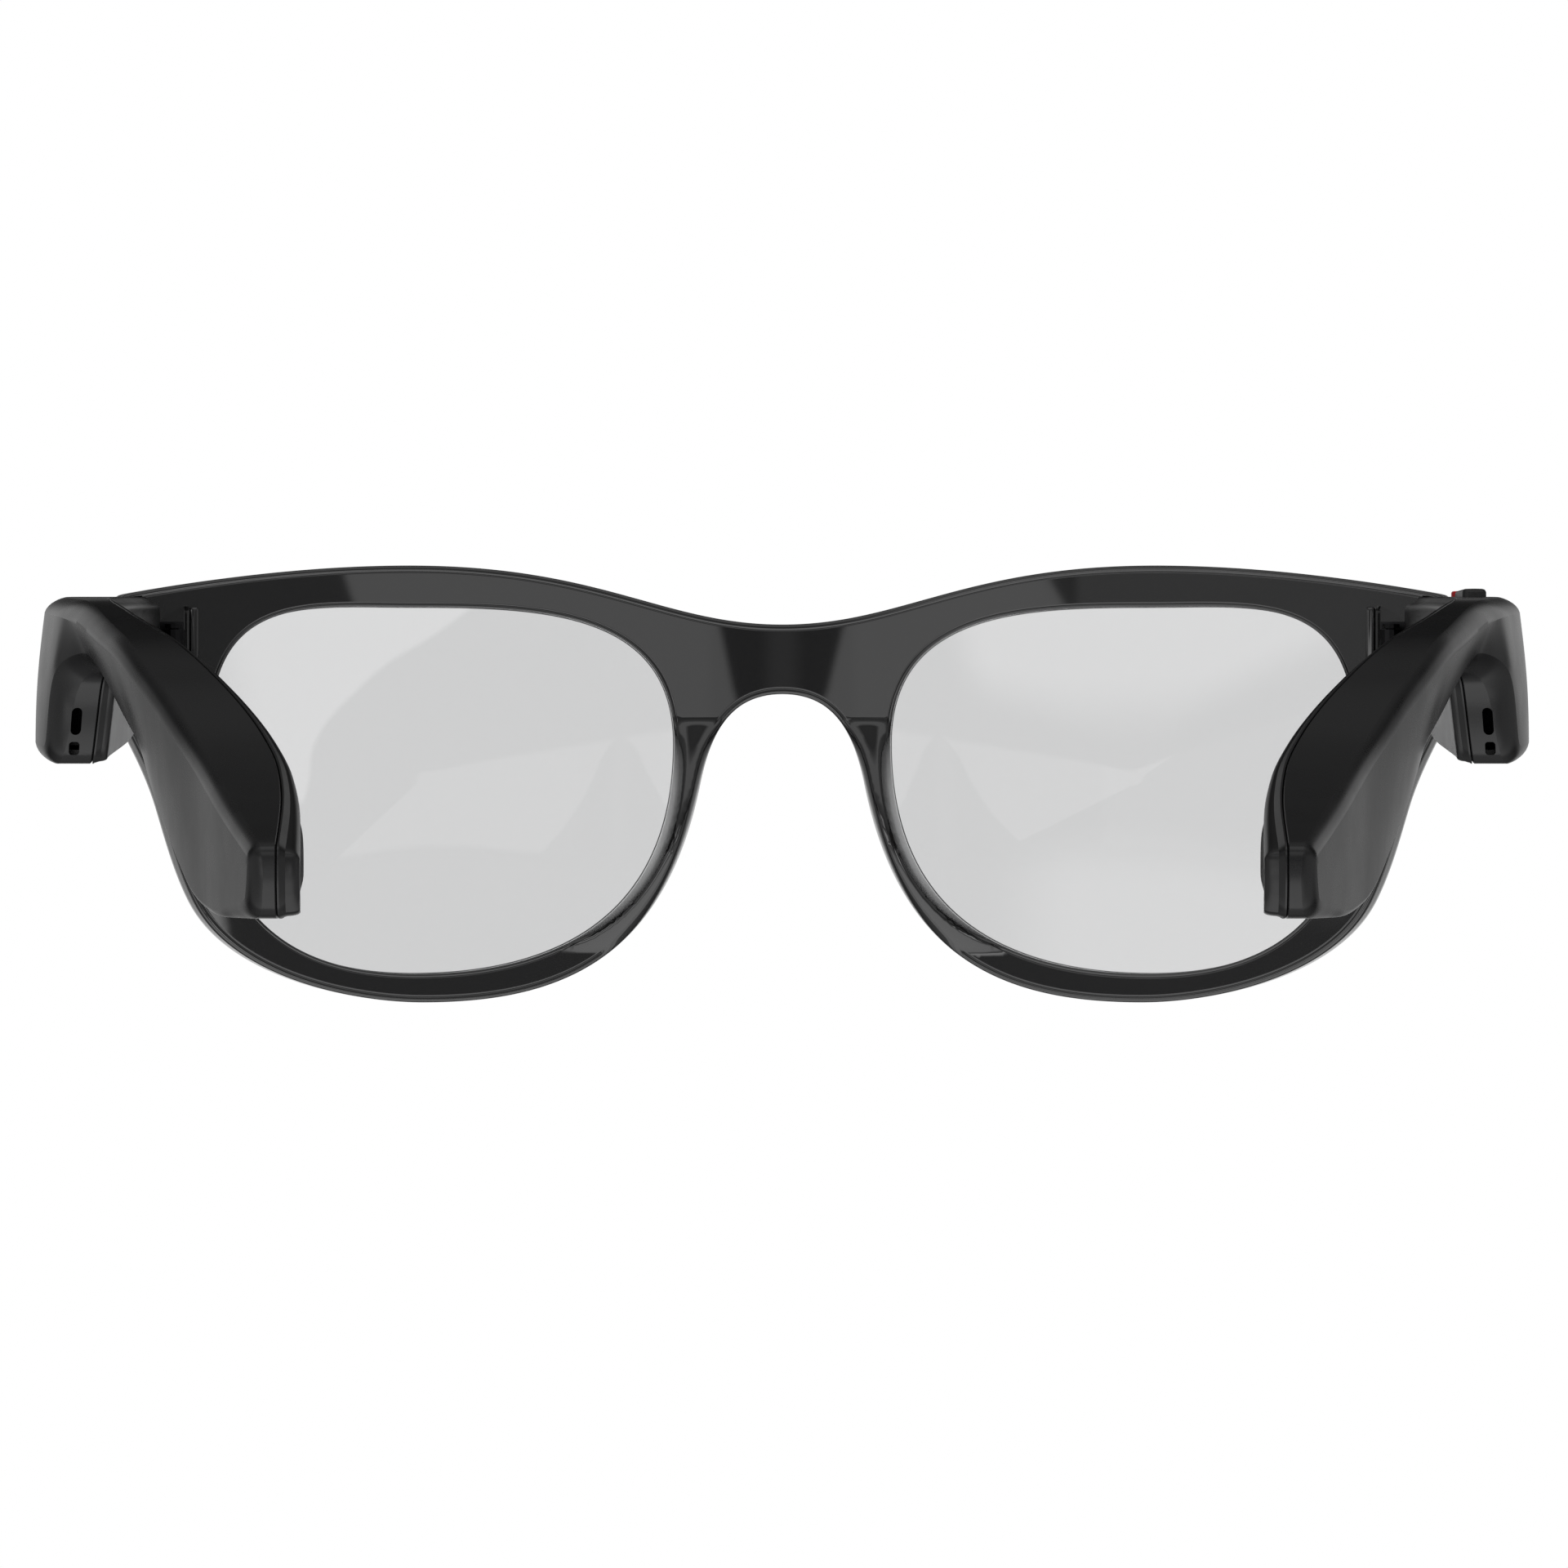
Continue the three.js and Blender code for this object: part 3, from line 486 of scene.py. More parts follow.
def pad_height(p):
    """rearward rise of the moulded nose pads over the front's rear face"""
    d0, d1 = rim_distances(p)
    t = (d0 / np.maximum(d0 + d1, 1e-6)) ** 0.85
    rise = np.sin(np.pi * np.clip((PAD_TOP - p[:, 1]) / PAD_LENGTH, 0, 1))
    near = 1 - step(27, 31, np.abs(p[:, 0]))
    return PAD_RISE * rise * near * (1 - np.abs(2 * t - 1) ** 3)


def edge_drop(d, r):
    """how far a rounded edge of radius r falls at a distance d from the outline"""
    q = np.clip(1 - d / r, 0, 1)
    return r * (1 - np.sqrt(1 - q * q * 0.998))


def border(d, r, at, w, lift):
    """rounded edge with a fine groove beside it, which runs out where the nose pad rises"""
    groove = np.clip(1 - np.abs(d - at) / w, 0, 1) * np.clip(1 - lift / 0.3, 0, 1)
    return edge_drop(d, r) + 0.07 * groove


def clear_points(p, from_edge, from_eye):
    """the points that lie on the front, clear of its edges"""
    d0, d1 = rim_distances(p)
    solid = ~(inside(p, eyes[0]) | inside(p, eyes[1]))
    return p[solid & (d0 > from_edge) & (d1 > from_eye)]


def front_build():
    """the whole front, flat: rear face with its grooves and nose pads, front face, edge and lens openings"""
    b = Build()
    rings = [ring(outer, 1.0, t) for t in (0.05, 0.14, 0.3, 0.56, 0.64, 0.72, 0.82)]
    rings += [q - inward(q) * t for q in eyes for t in (0.05, 0.15, 0.31, 0.38, 0.45, 0.53)]
    coarse = clear_points(grid(outer, 0.8), 1.1, 0.7)
    fine = grid(outer, 0.4)
    fine = fine[(np.abs(fine[:, 0]) < FINE_HALF) & (fine[:, 1] < FINE_TOP)]
    fine = clear_points(fine, 1.0, 0.75)
    rest = coarse[(np.abs(coarse[:, 0]) >= FINE_HALF - 0.2) | (coarse[:, 1] >= FINE_TOP - 0.2)]

    rear, faces = fill([outer], eyes, rings, np.vstack([rest, fine]))
    d0, d1 = rim_distances(rear)
    lift = pad_height(rear)
    y = lift - border(d0, REAR_EDGE, 0.64, 0.08, lift) - border(d1, REAR_EYE_EDGE, 0.38, 0.07, lift)
    b.patch(np.stack([rear[:, 0], y, rear[:, 1]], 1), faces)

    face, faces = fill([outer], eyes, rings, coarse)
    d0, d1 = rim_distances(face)
    y = -THICK + edge_drop(d0, FACE_EDGE) + edge_drop(d1, FACE_EYE_EDGE)
    b.patch(np.stack([face[:, 0], y, face[:, 1]], 1), faces[:, ::-1])

    def at(loop, off, y):
        q = loop - inward(loop) * off
        return np.stack([q[:, 0], np.broadcast_to(y, (len(q),)), q[:, 1]], 1)

    def ends(loop, rear_edge, face_edge):
        edge = np.zeros(len(loop))
        return pad_height(loop) - edge_drop(edge, rear_edge), -THICK + edge_drop(edge, face_edge)
    top, foot = ends(outer, REAR_EDGE, FACE_EDGE)
    b.strip([at(outer, 0, foot + (top - foot) * t) for t in (0, 0.25, 0.5, 0.75, 1)])
    for q in eyes:
        top, foot = ends(q, REAR_EYE_EDGE, FACE_EYE_EDGE)
        groove = [at(q, off, y) for off, y in ((0, -1.25), (0.12, -1.3), (1.2, -1.3), (1.2, -3.1),
                                               (0.12, -3.1), (0, -3.15))]
        b.strip([at(q, 0, top), at(q, 0, top * 0.5 - 0.65), *groove, at(q, 0, foot)])
    return b


def rib_build():
    """rounded upright bar beside the hinge recess, in the flat front's own space"""
    r, width, height = 0.3, 1, RIB_TOP - RIB_FOOT
    y0, y1 = -0.5, 0.65
    loop = stadium(RIB_X - width / 2, (RIB_TOP + RIB_FOOT) / 2, width, height, r, 4)
    centre, rows = loop.mean(0), []
    for y, g in ((y0, 0), (y1 - r, 0), (y1 - r * 0.3, 0.3 * r), (y1, r)):
        q = centre + (loop - centre) * (1 - 2 * g / np.array([width, height]))
        rows.append(np.stack([q[:, 0], np.full(len(q), y), q[:, 1]], 1))
    b = Build()
    b.strip(rows)
    b.cap(rows[0])
    b.cap(rows[-1][::-1])
    return b


def recess_build():
    """what is cut out of the rear face round the hinge, under a sloping roof"""
    roof = resample([[RIB_X + 0.02, 31.5], [RIB_X + 12, 31.5], [RIB_X + 12, 40.2], [RIB_X + 3.2, 41.3],
                     [RIB_X + 1.6, 42.4], [RIB_X + 0.02, 43.2]], 0.35)
    roof = soften(roof, 3)
    rows = [np.stack([roof[:, 0], np.full(len(roof), y), roof[:, 1]], 1) for y in (-1.1, 3)]
    b = Build()
    b.strip(rows)
    for row in rows:
        b.cap(row)
    return b


def lens_build():
    """domed shell whose edge sits in the rim's groove"""
    edge = resample(eye - inward(eye) * 1.05, 1.0)
    mid = edge.mean(0)
    b = Build()
    for y0 in LENS_FACES:
        rows = [np.stack([mid[0] + (edge[:, 0] - mid[0]) * f, np.full(len(edge), y0 - DOME * (1 - f * f)),
                          mid[1] + (edge[:, 1] - mid[1]) * f], 1) for f in np.linspace(0, 1, 27)[1:]]
        b.strip(rows)
        b.fan(rows[0], [mid[0], y0 - DOME, mid[1]])
    b.strip([np.stack([edge[:, 0], np.full(len(edge), y), edge[:, 1]], 1) for y in LENS_FACES])
    return b


RIB_X, RIB_FOOT, RIB_TOP = float(flat(64.0)), 29.8, 42.8
LENS_FACES, DOME = (-1.45, -2.95), 1.1
front = front_build().mesh("front", angle=FRONT_SHARP_ANGLE, warp=wrap)
recesses = [recess_build().mesh("recess", mirror=mirrored, warp=wrap) for mirrored, side in SIDES]
front = carve(front, recesses, FRONT_SHARP_ANGLE)
put("front_frame_body", front, FRAME, "front", ["front_frame"])
for mirrored, side in SIDES:
    put(f"{side}_hinge_rib", rib_build().mesh("rib", mirror=mirrored, warp=wrap), FRAME, "front", [])
for mirrored, side in SIDES:
    put(f"{side}_lens_glass", lens_build().mesh("lens", mirror=mirrored, warp=wrap), GLASS, "front",
        [f"{side}_lens"])

# ---------------------------------------------------------------- temples
# A temple is drawn from the side, y rearward and z up, with u as the height over its inner face.
# The housing ends at STEP, and the arm behind it widens to the paddle and ends at TIP.
BUTT, COVER_FRONT, STEP, TIP, PADDLE, HEEL = 5.35, 9.6, 79.0, 156.0, 128.0, 143.0
ARM_START = 84
inner_x = curve([0, 66.7], [60, 66.7], [STEP, 65.5], [88, 63.4], [100.5, 58.6], [112, 53.3], [126, 47.7],
                [134, 45.8], [HEEL, 44.75], [TIP, 44.1])
outer_x = curve([0, 71.4], [30, 73.6], [57, 74.85], [64, 74.7], [76, 72.6], [85, 70.2], [95, 67.5], [106, 64],
                [118, 59.7], [130, 55.7], [142, 52.5], [TIP, 48.65])
top_z = curve([0, 43.95], [STEP - 1, 42.1], [100, 38.4], [113, 33.9], [PADDLE, 27.6], [HEEL, 22.2],
              [TIP, 17.9])
arm_foot = curve([60, 35.9], [ARM_START, 35], [100, 28.1], [112, 20.6], [132, 12.3], [HEEL, 11.3],
                 [151, 11.3], [154.5, 11.8], [TIP, 14.9])
house_foot = curve([0, 32.2], [30, 30.2], [51, 28.3], [70, 26.1], [76, 25.7], [STEP - 1, 26.6],
                   [STEP - 0.1, 29], [STEP + 0.6, 32.5], [STEP + 2, 34.4], [ARM_START, 35])
cover_thick = curve([9, 1.7], [80, 1.5], [112, 1.45], [130, 1.45], [HEEL, 1.7], [TIP, 2.15])
wall_thick = curve([20, 1.2], [76, 1], [88, 0.75], [104, 0.75], [114, 1.2], [TIP, 1.2])
lean = curve([0, 0], [54, 0], [STEP - 3, 0.11], [STEP + 2, 0.11], [104, 0], [TIP, 0])
flare = curve([0, 0], [52, 0], [60, 0.15], [72, -0.3], [STEP, -0.7], [85, -2.6], [100, -3], [106, -2.6],
              [118, -1.4], [130, -0.5], [142, -0.3], [TIP, 0])


def foot_z(y):
    """height of the underside, along the housing and then the arm"""
    return np.where(np.asarray(y) < ARM_START, house_foot(y), arm_foot(y))


def place(u, y, z):
    """side drawing to worn millimetres; near the hinge the butt end is cut askew"""
    x = inner_x(y) + lean(y) * (top_z(y) - z) + u
    return np.stack([x, y + 0.3 * u * (1 - step(6, 16, y)), z], 1)


def side_loop(start):
    """the temple's side outline from a station to the tip"""
    y = np.linspace(start, TIP, 1500)
    p = np.vstack([np.stack([y, top_z(y)], 1), np.stack([y, foot_z(y)], 1)[::-1]])
    return ccw(soften(resample(p, 0.5), 5))


def thick(y, z):
    """outer face over the inner one: it leans in towards the foot and is slightly barrelled on the housing"""
    t, f = top_z(y), foot_z(y)
    g = np.clip((t - 1.5 - z) / (t - 1.5 - f), 0, 1)
    barrel = 0.3 * np.sin(np.pi * g) * (1 - step(78, 84, y)) * step(30, 55, y)
    return outer_x(y) - inner_x(y) + flare(y) * g + barrel


def band(loop):
    """width and depth of the rounded band that runs round the outer face's edge"""
    y, z = loop.T
    up = z > 0.5 * (top_z(y) + foot_z(y))
    w_top = curve([0, 1.3], [50, 1.3], [76, 1.65], [90, 1.8], [118, 1.45], [148, 1.3], [TIP, 1.15])(y)
    d_top = curve([0, 1.5], [50, 1.5], [76, 2.3], [90, 1.8], [118, 1.45], [148, 1.3], [TIP, 1.0])(y)
    w_low = curve([0, 1.2], [60, 1.5], [74, 1.7], [84, 1.8], [90, 1.1], [97, 0.45], [138, 0.4], [146, 1.1],
                  [152, 1.5], [TIP, 1.5])(y)
    d_low = curve([0, 1.0], [60, 1.4], [74, 1.5], [84, 1.5], [90, 0.9], [97, 0.3], [138, 0.3], [146, 1.1],
                  [152, 1.4], [TIP, 1.2])(y)
    w, d = np.where(up, w_top, w_low), np.where(up, d_top, d_low)
    front = 1 - step(5.6, 9, y)
    w, d = w * (1 - front) + 0.8 * front, d * (1 - front) + 0.6 * front
    return soften(w, 8), soften(d, 8)


def rounding(t):
    """fall of the rounded band, 1 at its outer edge (t = 0) and 0 where it meets the face (t = 1)"""
    q = np.clip(1 - t, 0, 1) * 0.95
    return 0.16 * q + (1 - np.sqrt(1 - q * q)) * 0.848 / 0.6878


SEAM, LIP = 0.035, 0.13
SHELL_LOOP = side_loop(BUTT + 0.05)
COVER_LOOP = side_loop(COVER_FRONT)
BAND_WIDTH, BAND_DEPTH = band(SHELL_LOOP)
CHAMFER, SOFT_EDGE, CHAMFER_DROP = 0.58, 1.3, 0.74
CONTACTS, CONTACT_R = ((26, 37), (30, 37)), 0.95
GRIP_START, GRIP_END, GRIP_MARGIN = 133, 153, 1.7


def grip_outline():
    """long oval in the middle of the paddle"""
    y = np.linspace(GRIP_START, GRIP_END, 90)
    bow = np.sin(np.pi * (0.04 + 0.92 * (y - GRIP_START) / (GRIP_END - GRIP_START))) ** 0.6
    half_height = ((top_z(y) - arm_foot(y)) / 2 - GRIP_MARGIN) * bow
    mid = (top_z(y) + arm_foot(y)) / 2
    p = np.vstack([np.stack([y, mid + half_height], 1), np.stack([y, mid - half_height], 1)[::-1]])
    return ccw(soften(resample(p, 0.4), 4))


GRIP_LOOP = grip_outline()


def raised(p, u):
    """side drawing points at a height u over the inner face, in worn millimetres"""
    return place(np.broadcast_to(u, (len(p),)), p[:, 0], p[:, 1])


def hollow_floor(p):
    """the shell's wall under the outer face, kept above the cover"""
    bend = rounding(field(p, SHELL_LOOP, np.maximum(BAND_WIDTH, 2))[0])
    wall = thick(p[:, 0], p[:, 1]) - wall_thick(p[:, 0]) - 0.9 * bend
    return np.maximum(wall, cover_thick(p[:, 0]) + 0.3)


def shell_build():
    """outer shell: the outer face with its rounded band, the edge, and a hollow open towards the cover"""
    b, loop = Build(), SHELL_LOOP
    rings = [ring(loop, BAND_WIDTH, t) for t in (0.03, 0.08, 0.15, 0.25, 0.38, 0.55, 0.77, 1.0)]
    points = grid(loop, 0.75)
    points = points[field(points, loop, BAND_WIDTH)[0] > 1.08]
    v, faces = fill([loop], [], rings, points)
    t, i = field(v, loop, BAND_WIDTH)
    u = thick(v[:, 0], v[:, 1]) - lookup(BAND_DEPTH, i) * rounding(t)
    b.patch(raised(v, u), faces, (t < 0.005) | (np.abs(t - 1) < 0.012))

    ridge = thick(loop[:, 0], loop[:, 1]) - BAND_DEPTH
    seam = cover_thick(loop[:, 0]) + SEAM
    lip = loop + inward(loop) * LIP
    b.strip([raised(loop, ridge), raised(loop, ridge * 0.5 + (seam + 0.15) * 0.5), raised(loop, seam + 0.15),
             raised(lip, seam)], crease=(0,))

    hollow = ring(loop, 1.0, 1.35)
    hollow = ccw(resample(hollow[hollow[:, 0] > 20], 1.0))
    v, faces = fill([lip], [hollow])
    b.patch(raised(v, cover_thick(v[:, 0]) + SEAM), faces[:, ::-1])
    points = grid(hollow, 2.0)
    v, faces = fill([hollow], points=points[field(points, hollow, 1.0)[0] > 0.8])
    b.patch(raised(v, hollow_floor(v)), faces[:, ::-1])
    b.strip([raised(hollow, cover_thick(hollow[:, 0]) + SEAM), raised(hollow, hollow_floor(hollow))])
    return b


def cover_build():
    """inner cover: a chamfer and a soft edge round a flat face, with a bed for the grip and the contacts"""
    b, loop = Build(), COVER_LOOP
    y, z = loop.T
    under = (z < 0.5 * (top_z(y) + foot_z(y))) & ((y < STEP - 1.2) | (y > 90)) & (y < TIP - 1)
    width = soften(np.where(under, 0.4, 1.0), 6)

    def inner_face(p):
        d, _ = field(p, loop, width)
        k = cover_thick(p[:, 0]) - SEAM
        r = np.clip((SOFT_EDGE - d) / (SOFT_EDGE - CHAMFER), 0, 1)
        soft = (k - CHAMFER_DROP) * (0.1 * r + 0.9 * (1 - np.sqrt(np.maximum(1 - r * r * 0.98, 0))) / 0.859)
        return np.where(d < CHAMFER, k - CHAMFER_DROP * d / CHAMFER, soft)
    rings = [ring(loop, width, t) for t in (0.3, CHAMFER, 0.63, 0.7, 0.82, 1.0, SOFT_EDGE)]
    bed = [GRIP_LOOP - inward(GRIP_LOOP) * off for off in (0.2, 0.12)]
    pockets = [[stadium(y, z, 2 * CONTACT_R - gap, 2 * CONTACT_R - gap, CONTACT_R) for y, z in CONTACTS]
               for gap in (0, 0.04)]
    points = grid(loop, 0.9)
    keep = field(points, loop, 1.0)[0] > 1.4
    for q in [bed[0], *pockets[0]]:
        keep &= (field(points, q, 1.0)[0] > 0.25)
    v, faces = fill([loop], [], rings + bed + pockets[0] + pockets[1], points[keep])
    u = np.where(inside(v, GRIP_LOOP - inward(GRIP_LOOP) * 0.16), 0.65, inner_face(v))
    for y, z in CONTACTS:
        u = np.where(np.hypot(v[:, 0] - y, v[:, 1] - z) < CONTACT_R - 0.005, 1.2, u)
    d, _ = field(v, loop, width)
    b.patch(raised(v, u), faces[:, ::-1], (d < 0.005) | (np.abs(d - CHAMFER) < 0.012))

    seam = cover_thick(loop[:, 0])
    lip = loop + inward(loop) * LIP
    b.strip([raised(loop, inner_face(loop)), raised(loop, seam - 0.2), raised(lip, seam - SEAM)], crease=(0,))
    v, faces = fill([lip])
    b.patch(raised(v, cover_thick(v[:, 0]) - SEAM), faces)
    return b


def grip_build():
    """soft pad that stands slightly proud of the cover, with a rounded edge"""
    b, loop = Build(), GRIP_LOOP
    rings = [ring(loop, 1.0, t) for t in (0.2, 0.5, 0.9)]
    points = grid(loop, 0.5)
    v, faces = fill([loop], [], rings, points[field(points, loop, 1.0)[0] > 1.1])
    b.patch(raised(v, -0.3 + 0.42 * (1 - step(0, 2.2, field(v, loop, 1.0)[0]))), faces[:, ::-1])
    b.strip([raised(loop, u) for u in (0.12, 0.3, 0.5)])
    v, faces = fill([loop])
    b.patch(raised(v, 0.5), faces)
    return b


CONTROL_U, BUTTON_Y, BUTTON_R = 4.3, 37.0, 1.2
KEY_Y, KEY_LENGTH, KEY_WIDTH = 48.0, 11.0, 2.5
SLOTS = ((28.6, 31.3, 0.5), (26.6, 27.9, 0.32))


def control_place(y):
    """sideways place and height of the temple's top at a control"""
    return float(inner_x(y)) + CONTROL_U, float(top_z(y))


def slot_cutters(mirror):
    """the two slots through the housing's rear wall, each with its foot, top and corner radius"""
    out = []
    for foot, top, r in SLOTS:
        mid = (foot + top) / 2
        loop = stadium(0, mid, 1.05, top - foot, r)
        x = float(inner_x(STEP) + lean(STEP) * (top_z(STEP) - mid) + 3.6)
        loop[:, 0] += x + 0.09 * (mid - loop[:, 1])
        out.append(prism(loop, 75.5, 82, Y_AXIS, mirror))
    return out


def control_cutters(mirror):
    """the openings for the button and the key in a temple's top"""
    out = []
    for y, w, h, r, n in ((BUTTON_Y, 2 * BUTTON_R + 0.3, 2 * BUTTON_R + 0.3, 2, 12),
                          (KEY_Y, KEY_WIDTH + 0.3, KEY_LENGTH + 0.5, 0.7, 6)):
        x, top = control_place(y)
        out.append(prism(stadium(x, y, w, h, r, n), top - 2.6, top + 2, Z_AXIS, mirror))
    return out


shell, cover, grip = shell_build(), cover_build(), grip_build()
for mirrored, side in SIDES:
    body = f"{side}_temple"
    cutters = slot_cutters(mirrored) + (control_cutters(mirrored) if side == "right" else [])
    outer_piece = carve(shell.mesh("shell", mirror=mirrored), cutters)
    put(f"{side}_temple_outer", outer_piece, SHELL, body, [f"{side}_temple_shell"])
    put(f"{side}_temple_inner", cover.mesh("cover", mirror=mirrored), COVER, body,
        [f"{side}_inner_cover"])
    put(f"{side}_tip_grip", grip.mesh("grip", mirror=mirrored), PAD, body, [f"{side}_tip_pad"])


# ---------------------------------------------------------------- controls
def level(loop, z):
    """a loop in the x-y plane at a height"""
    return np.stack([loop[:, 0], loop[:, 1], np.broadcast_to(z, (len(loop),))], 1)


def button_build():
    """turned cap with a round top edge, and a flange under the shell"""
    x, top = control_place(BUTTON_Y)
    r0, shoulder, n = 0.22, 0.35, 48
    outline = [(1.5, -2.1), (1.5, -1.72), (1.46, -1.7), (BUTTON_R, -1.7), (BUTTON_R, shoulder)]
    outline += [(BUTTON_R - r0 + r0 * math.cos(a), shoulder + r0 * math.sin(a))
                for a in np.linspace(0.2, math.pi / 2, 6)]
    outline += [(0.7, 0.585), (0.35, 0.598)]
    turn = np.linspace(0, 2 * math.pi, n, endpoint=False)
    circle = np.stack([np.cos(turn), np.sin(turn)], 1)
    rows = [level(np.array([x, BUTTON_Y]) + r * circle, top + h) for r, h in outline]
    b = Build()
    b.strip(rows)
    b.cap(rows[0])
    b.fan(rows[-1], [x, BUTTON_Y, top + 0.6])
    return b


def key_build():
    """long key with a slightly dished top, and a flange under the shell"""
    x, top = control_place(KEY_Y)
    rows = []
    for h, inset in ((-1.8, 0), (0.35, 0), (0.5, 0.05), (0.6, 0.15), (0.68, 0.35), (0.7, 0.7)):
        loop = stadium(x, KEY_Y, KEY_WIDTH - 2 * inset, KEY_LENGTH - 2 * inset, 0.6, 6)
        dish = 0.05 * ((loop[:, 1] - KEY_Y) / (KEY_LENGTH / 2)) ** 2 if h > 0.5 else 0
        rows.append(level(loop, top + h + dish))
    b = Build()
    b.strip(rows)
    b.cap(rows[-1])
    loop = stadium(x, KEY_Y, 2.3, KEY_LENGTH + 0.9, 0.5, 6)
    flange = [level(loop, top + h) for h in (-1.8, -2.05)]
    b.strip(flange)
    for row in flange[::-1]:
        b.cap(row)
    return b


put("function_button_cap", button_build().mesh("cap", mirror=True), RED, "function_button",
    ["function_button"])
put("volume_rocker_key", key_build().mesh("key", mirror=True), KEY, "volume_rocker",
    ["volume_rocker"])

# ---------------------------------------------------------------- carried-over CAD pieces
# The first word found in a node's name gives its material.
looks = (("hinge_leaf", STEEL), ("screw", STEEL), ("contact", GOLD), ("magnet", NICKEL), ("board", BOARD),
         ("battery", CELL), ("antenna", FILM), ("ribbon", FILM), ("speaker_mesh", MESH),
         ("speaker_duct", PAD), ("speaker", PART), ("microphone", PART), ("switch", PART))
for name, ob in frame["nodes"].items():
    mat = next((m for word, m in looks if word in name), None)
    if mat is not None:
        if not ob.material_slots:
            ob.data.materials.append(mat)
        for slot in ob.material_slots:
            slot.link = "OBJECT"
            slot.material = mat

# ---------------------------------------------------------------- camera
# A metre behind the front, level with the lenses, and looking along the worn temples.
EYE, SENSOR, VIEW_WIDTH = (-0.18, 1000, 23.7), 36, 169.9
scene = bpy.context.scene
scene.view_settings.view_transform = "Standard"
cam = bpy.data.objects.new("camera", bpy.data.cameras.new("camera"))
scene.collection.objects.link(cam)
scene.camera = cam
eye_at = to_frame(EYE)
cam.matrix_world = Matrix(((-1, 0, 0, eye_at[0]), (0, TILT_SIN, TILT_COS, eye_at[1]),
                           (0, TILT_COS, -TILT_SIN, eye_at[2]), (0, 0, 0, 1)))
cam.data.sensor_width = SENSOR
cam.data.lens = SENSOR * EYE[1] / VIEW_WIDTH
cam.data.clip_start, cam.data.clip_end = 0.01, 50

# ---------------------------------------------------------------- surroundings
# The world is plain white to the camera and through the lenses. Reflections and lighting see a studio
# instead: its brightness depends on the direction, and a few cards stand behind the wearer.
world = bpy.data.worlds.new("studio")
scene.world = world
world.use_nodes = True
sky = world.node_tree


def op(kind, a, b=0.0, clamp=False):
    """math node; a and b are numbers or sockets"""
    n = sky.nodes.new("ShaderNodeMath")
    n.operation, n.use_clamp = kind, clamp
    for i, v in enumerate((a, b)):
        if isinstance(v, (int, float)):
            n.inputs[i].default_value = v
        else:
            sky.links.new(v, n.inputs[i])
    return n.outputs[0]


def times(*v):
    out = v[0]
    for q in v[1:]:
        out = op("MULTIPLY", out, q)
    return out


def inverse(v):
    return op("SUBTRACT", 1.0, v)


def smooth(v, a, b):
    """0 below a, 1 above b"""
    n = sky.nodes.new("ShaderNodeMapRange")
    n.interpolation_type = "SMOOTHSTEP"
    n.inputs["From Min"].default_value, n.inputs["From Max"].default_value = a, b
    sky.links.new(v, n.inputs["Value"])
    return n.outputs["Result"]


def sharp(v, sign=1):
    """1 on the positive side of v = 0, or on the negative side with sign -1"""
    return op("ADD", op("MULTIPLY", v, 180.0 * sign), 0.5, True)


def profile(foot, top, *points):
    """brightness against elevation in degrees, from straight down to straight up"""
    full = 4
    n = sky.nodes.new("ShaderNodeValToRGB")
    sky.links.new(op("ADD", op("MULTIPLY", elevation, 1 / math.pi), 0.5), n.inputs["Fac"])
    ends = n.color_ramp.elements
    for i, value in enumerate((foot, top)):
        ends[i].position = i
        ends[i].color = (value / full, value / full, value / full, 1)
    for degrees, value in points:
        ends.new((degrees + 90) / 180).color = (value / full, value / full, value / full, 1)
    return op("MULTIPLY", n.outputs["Color"], float(full))


def card(left, right):
    """a card between two slanted edges, each with its place, its slope and the height of that place"""
    edges = [op("SUBTRACT", azimuth, op("ADD", op("MULTIPLY", height, slope), at - slope * level))
             for at, slope, level in (left, right)]
    return times(window, sharp(edges[0]), sharp(edges[1], -1))


coords, parts, path, mix = (sky.nodes.new(k) for k in (
    "ShaderNodeTexCoord", "ShaderNodeSeparateXYZ", "ShaderNodeLightPath", "ShaderNodeMix"))
sky.links.new(coords.outputs["Generated"], parts.inputs["Vector"])
azimuth = op("ARCTAN2", parts.outputs["X"], parts.outputs["Y"])
elevation = op("ARCSINE", parts.outputs["Z"])
off_axis = op("ABSOLUTE", azimuth)
ahead = smooth(off_axis, 1.65, 1.95)
behind = inverse(smooth(off_axis, 0.75, 1.0))
beside = op("SUBTRACT", inverse(ahead), behind)

# The cards stand in a narrow strip just below level, and height is counted from near its foot.
height = op("ADD", elevation, 0.073)
window = times(sharp(op("ADD", height, 0.008)), sharp(op("SUBTRACT", height, 0.06), -1))
slanted = op("ADD", op("ADD", op("MULTIPLY", azimuth, 0.683), op("MULTIPLY", elevation, 0.731)), 0.352)
lens_patch = times(sharp(slanted, -1), smooth(azimuth, -0.62, -0.5), smooth(elevation, -0.32, -0.26),
                   sharp(azimuth, -1), sharp(op("SUBTRACT", height, 0.02), -1))
low_patch = times(inverse(smooth(elevation, 0.1, 0.2)), smooth(height, 0.03, 0.1), smooth(azimuth, 0.04, 0.2))
high_patch = times(smooth(elevation, -0.32, -0.26), smooth(op("MULTIPLY", height, -1.0), 0.03, 0.12),
                   smooth(azimuth, 0.02, 0.1))
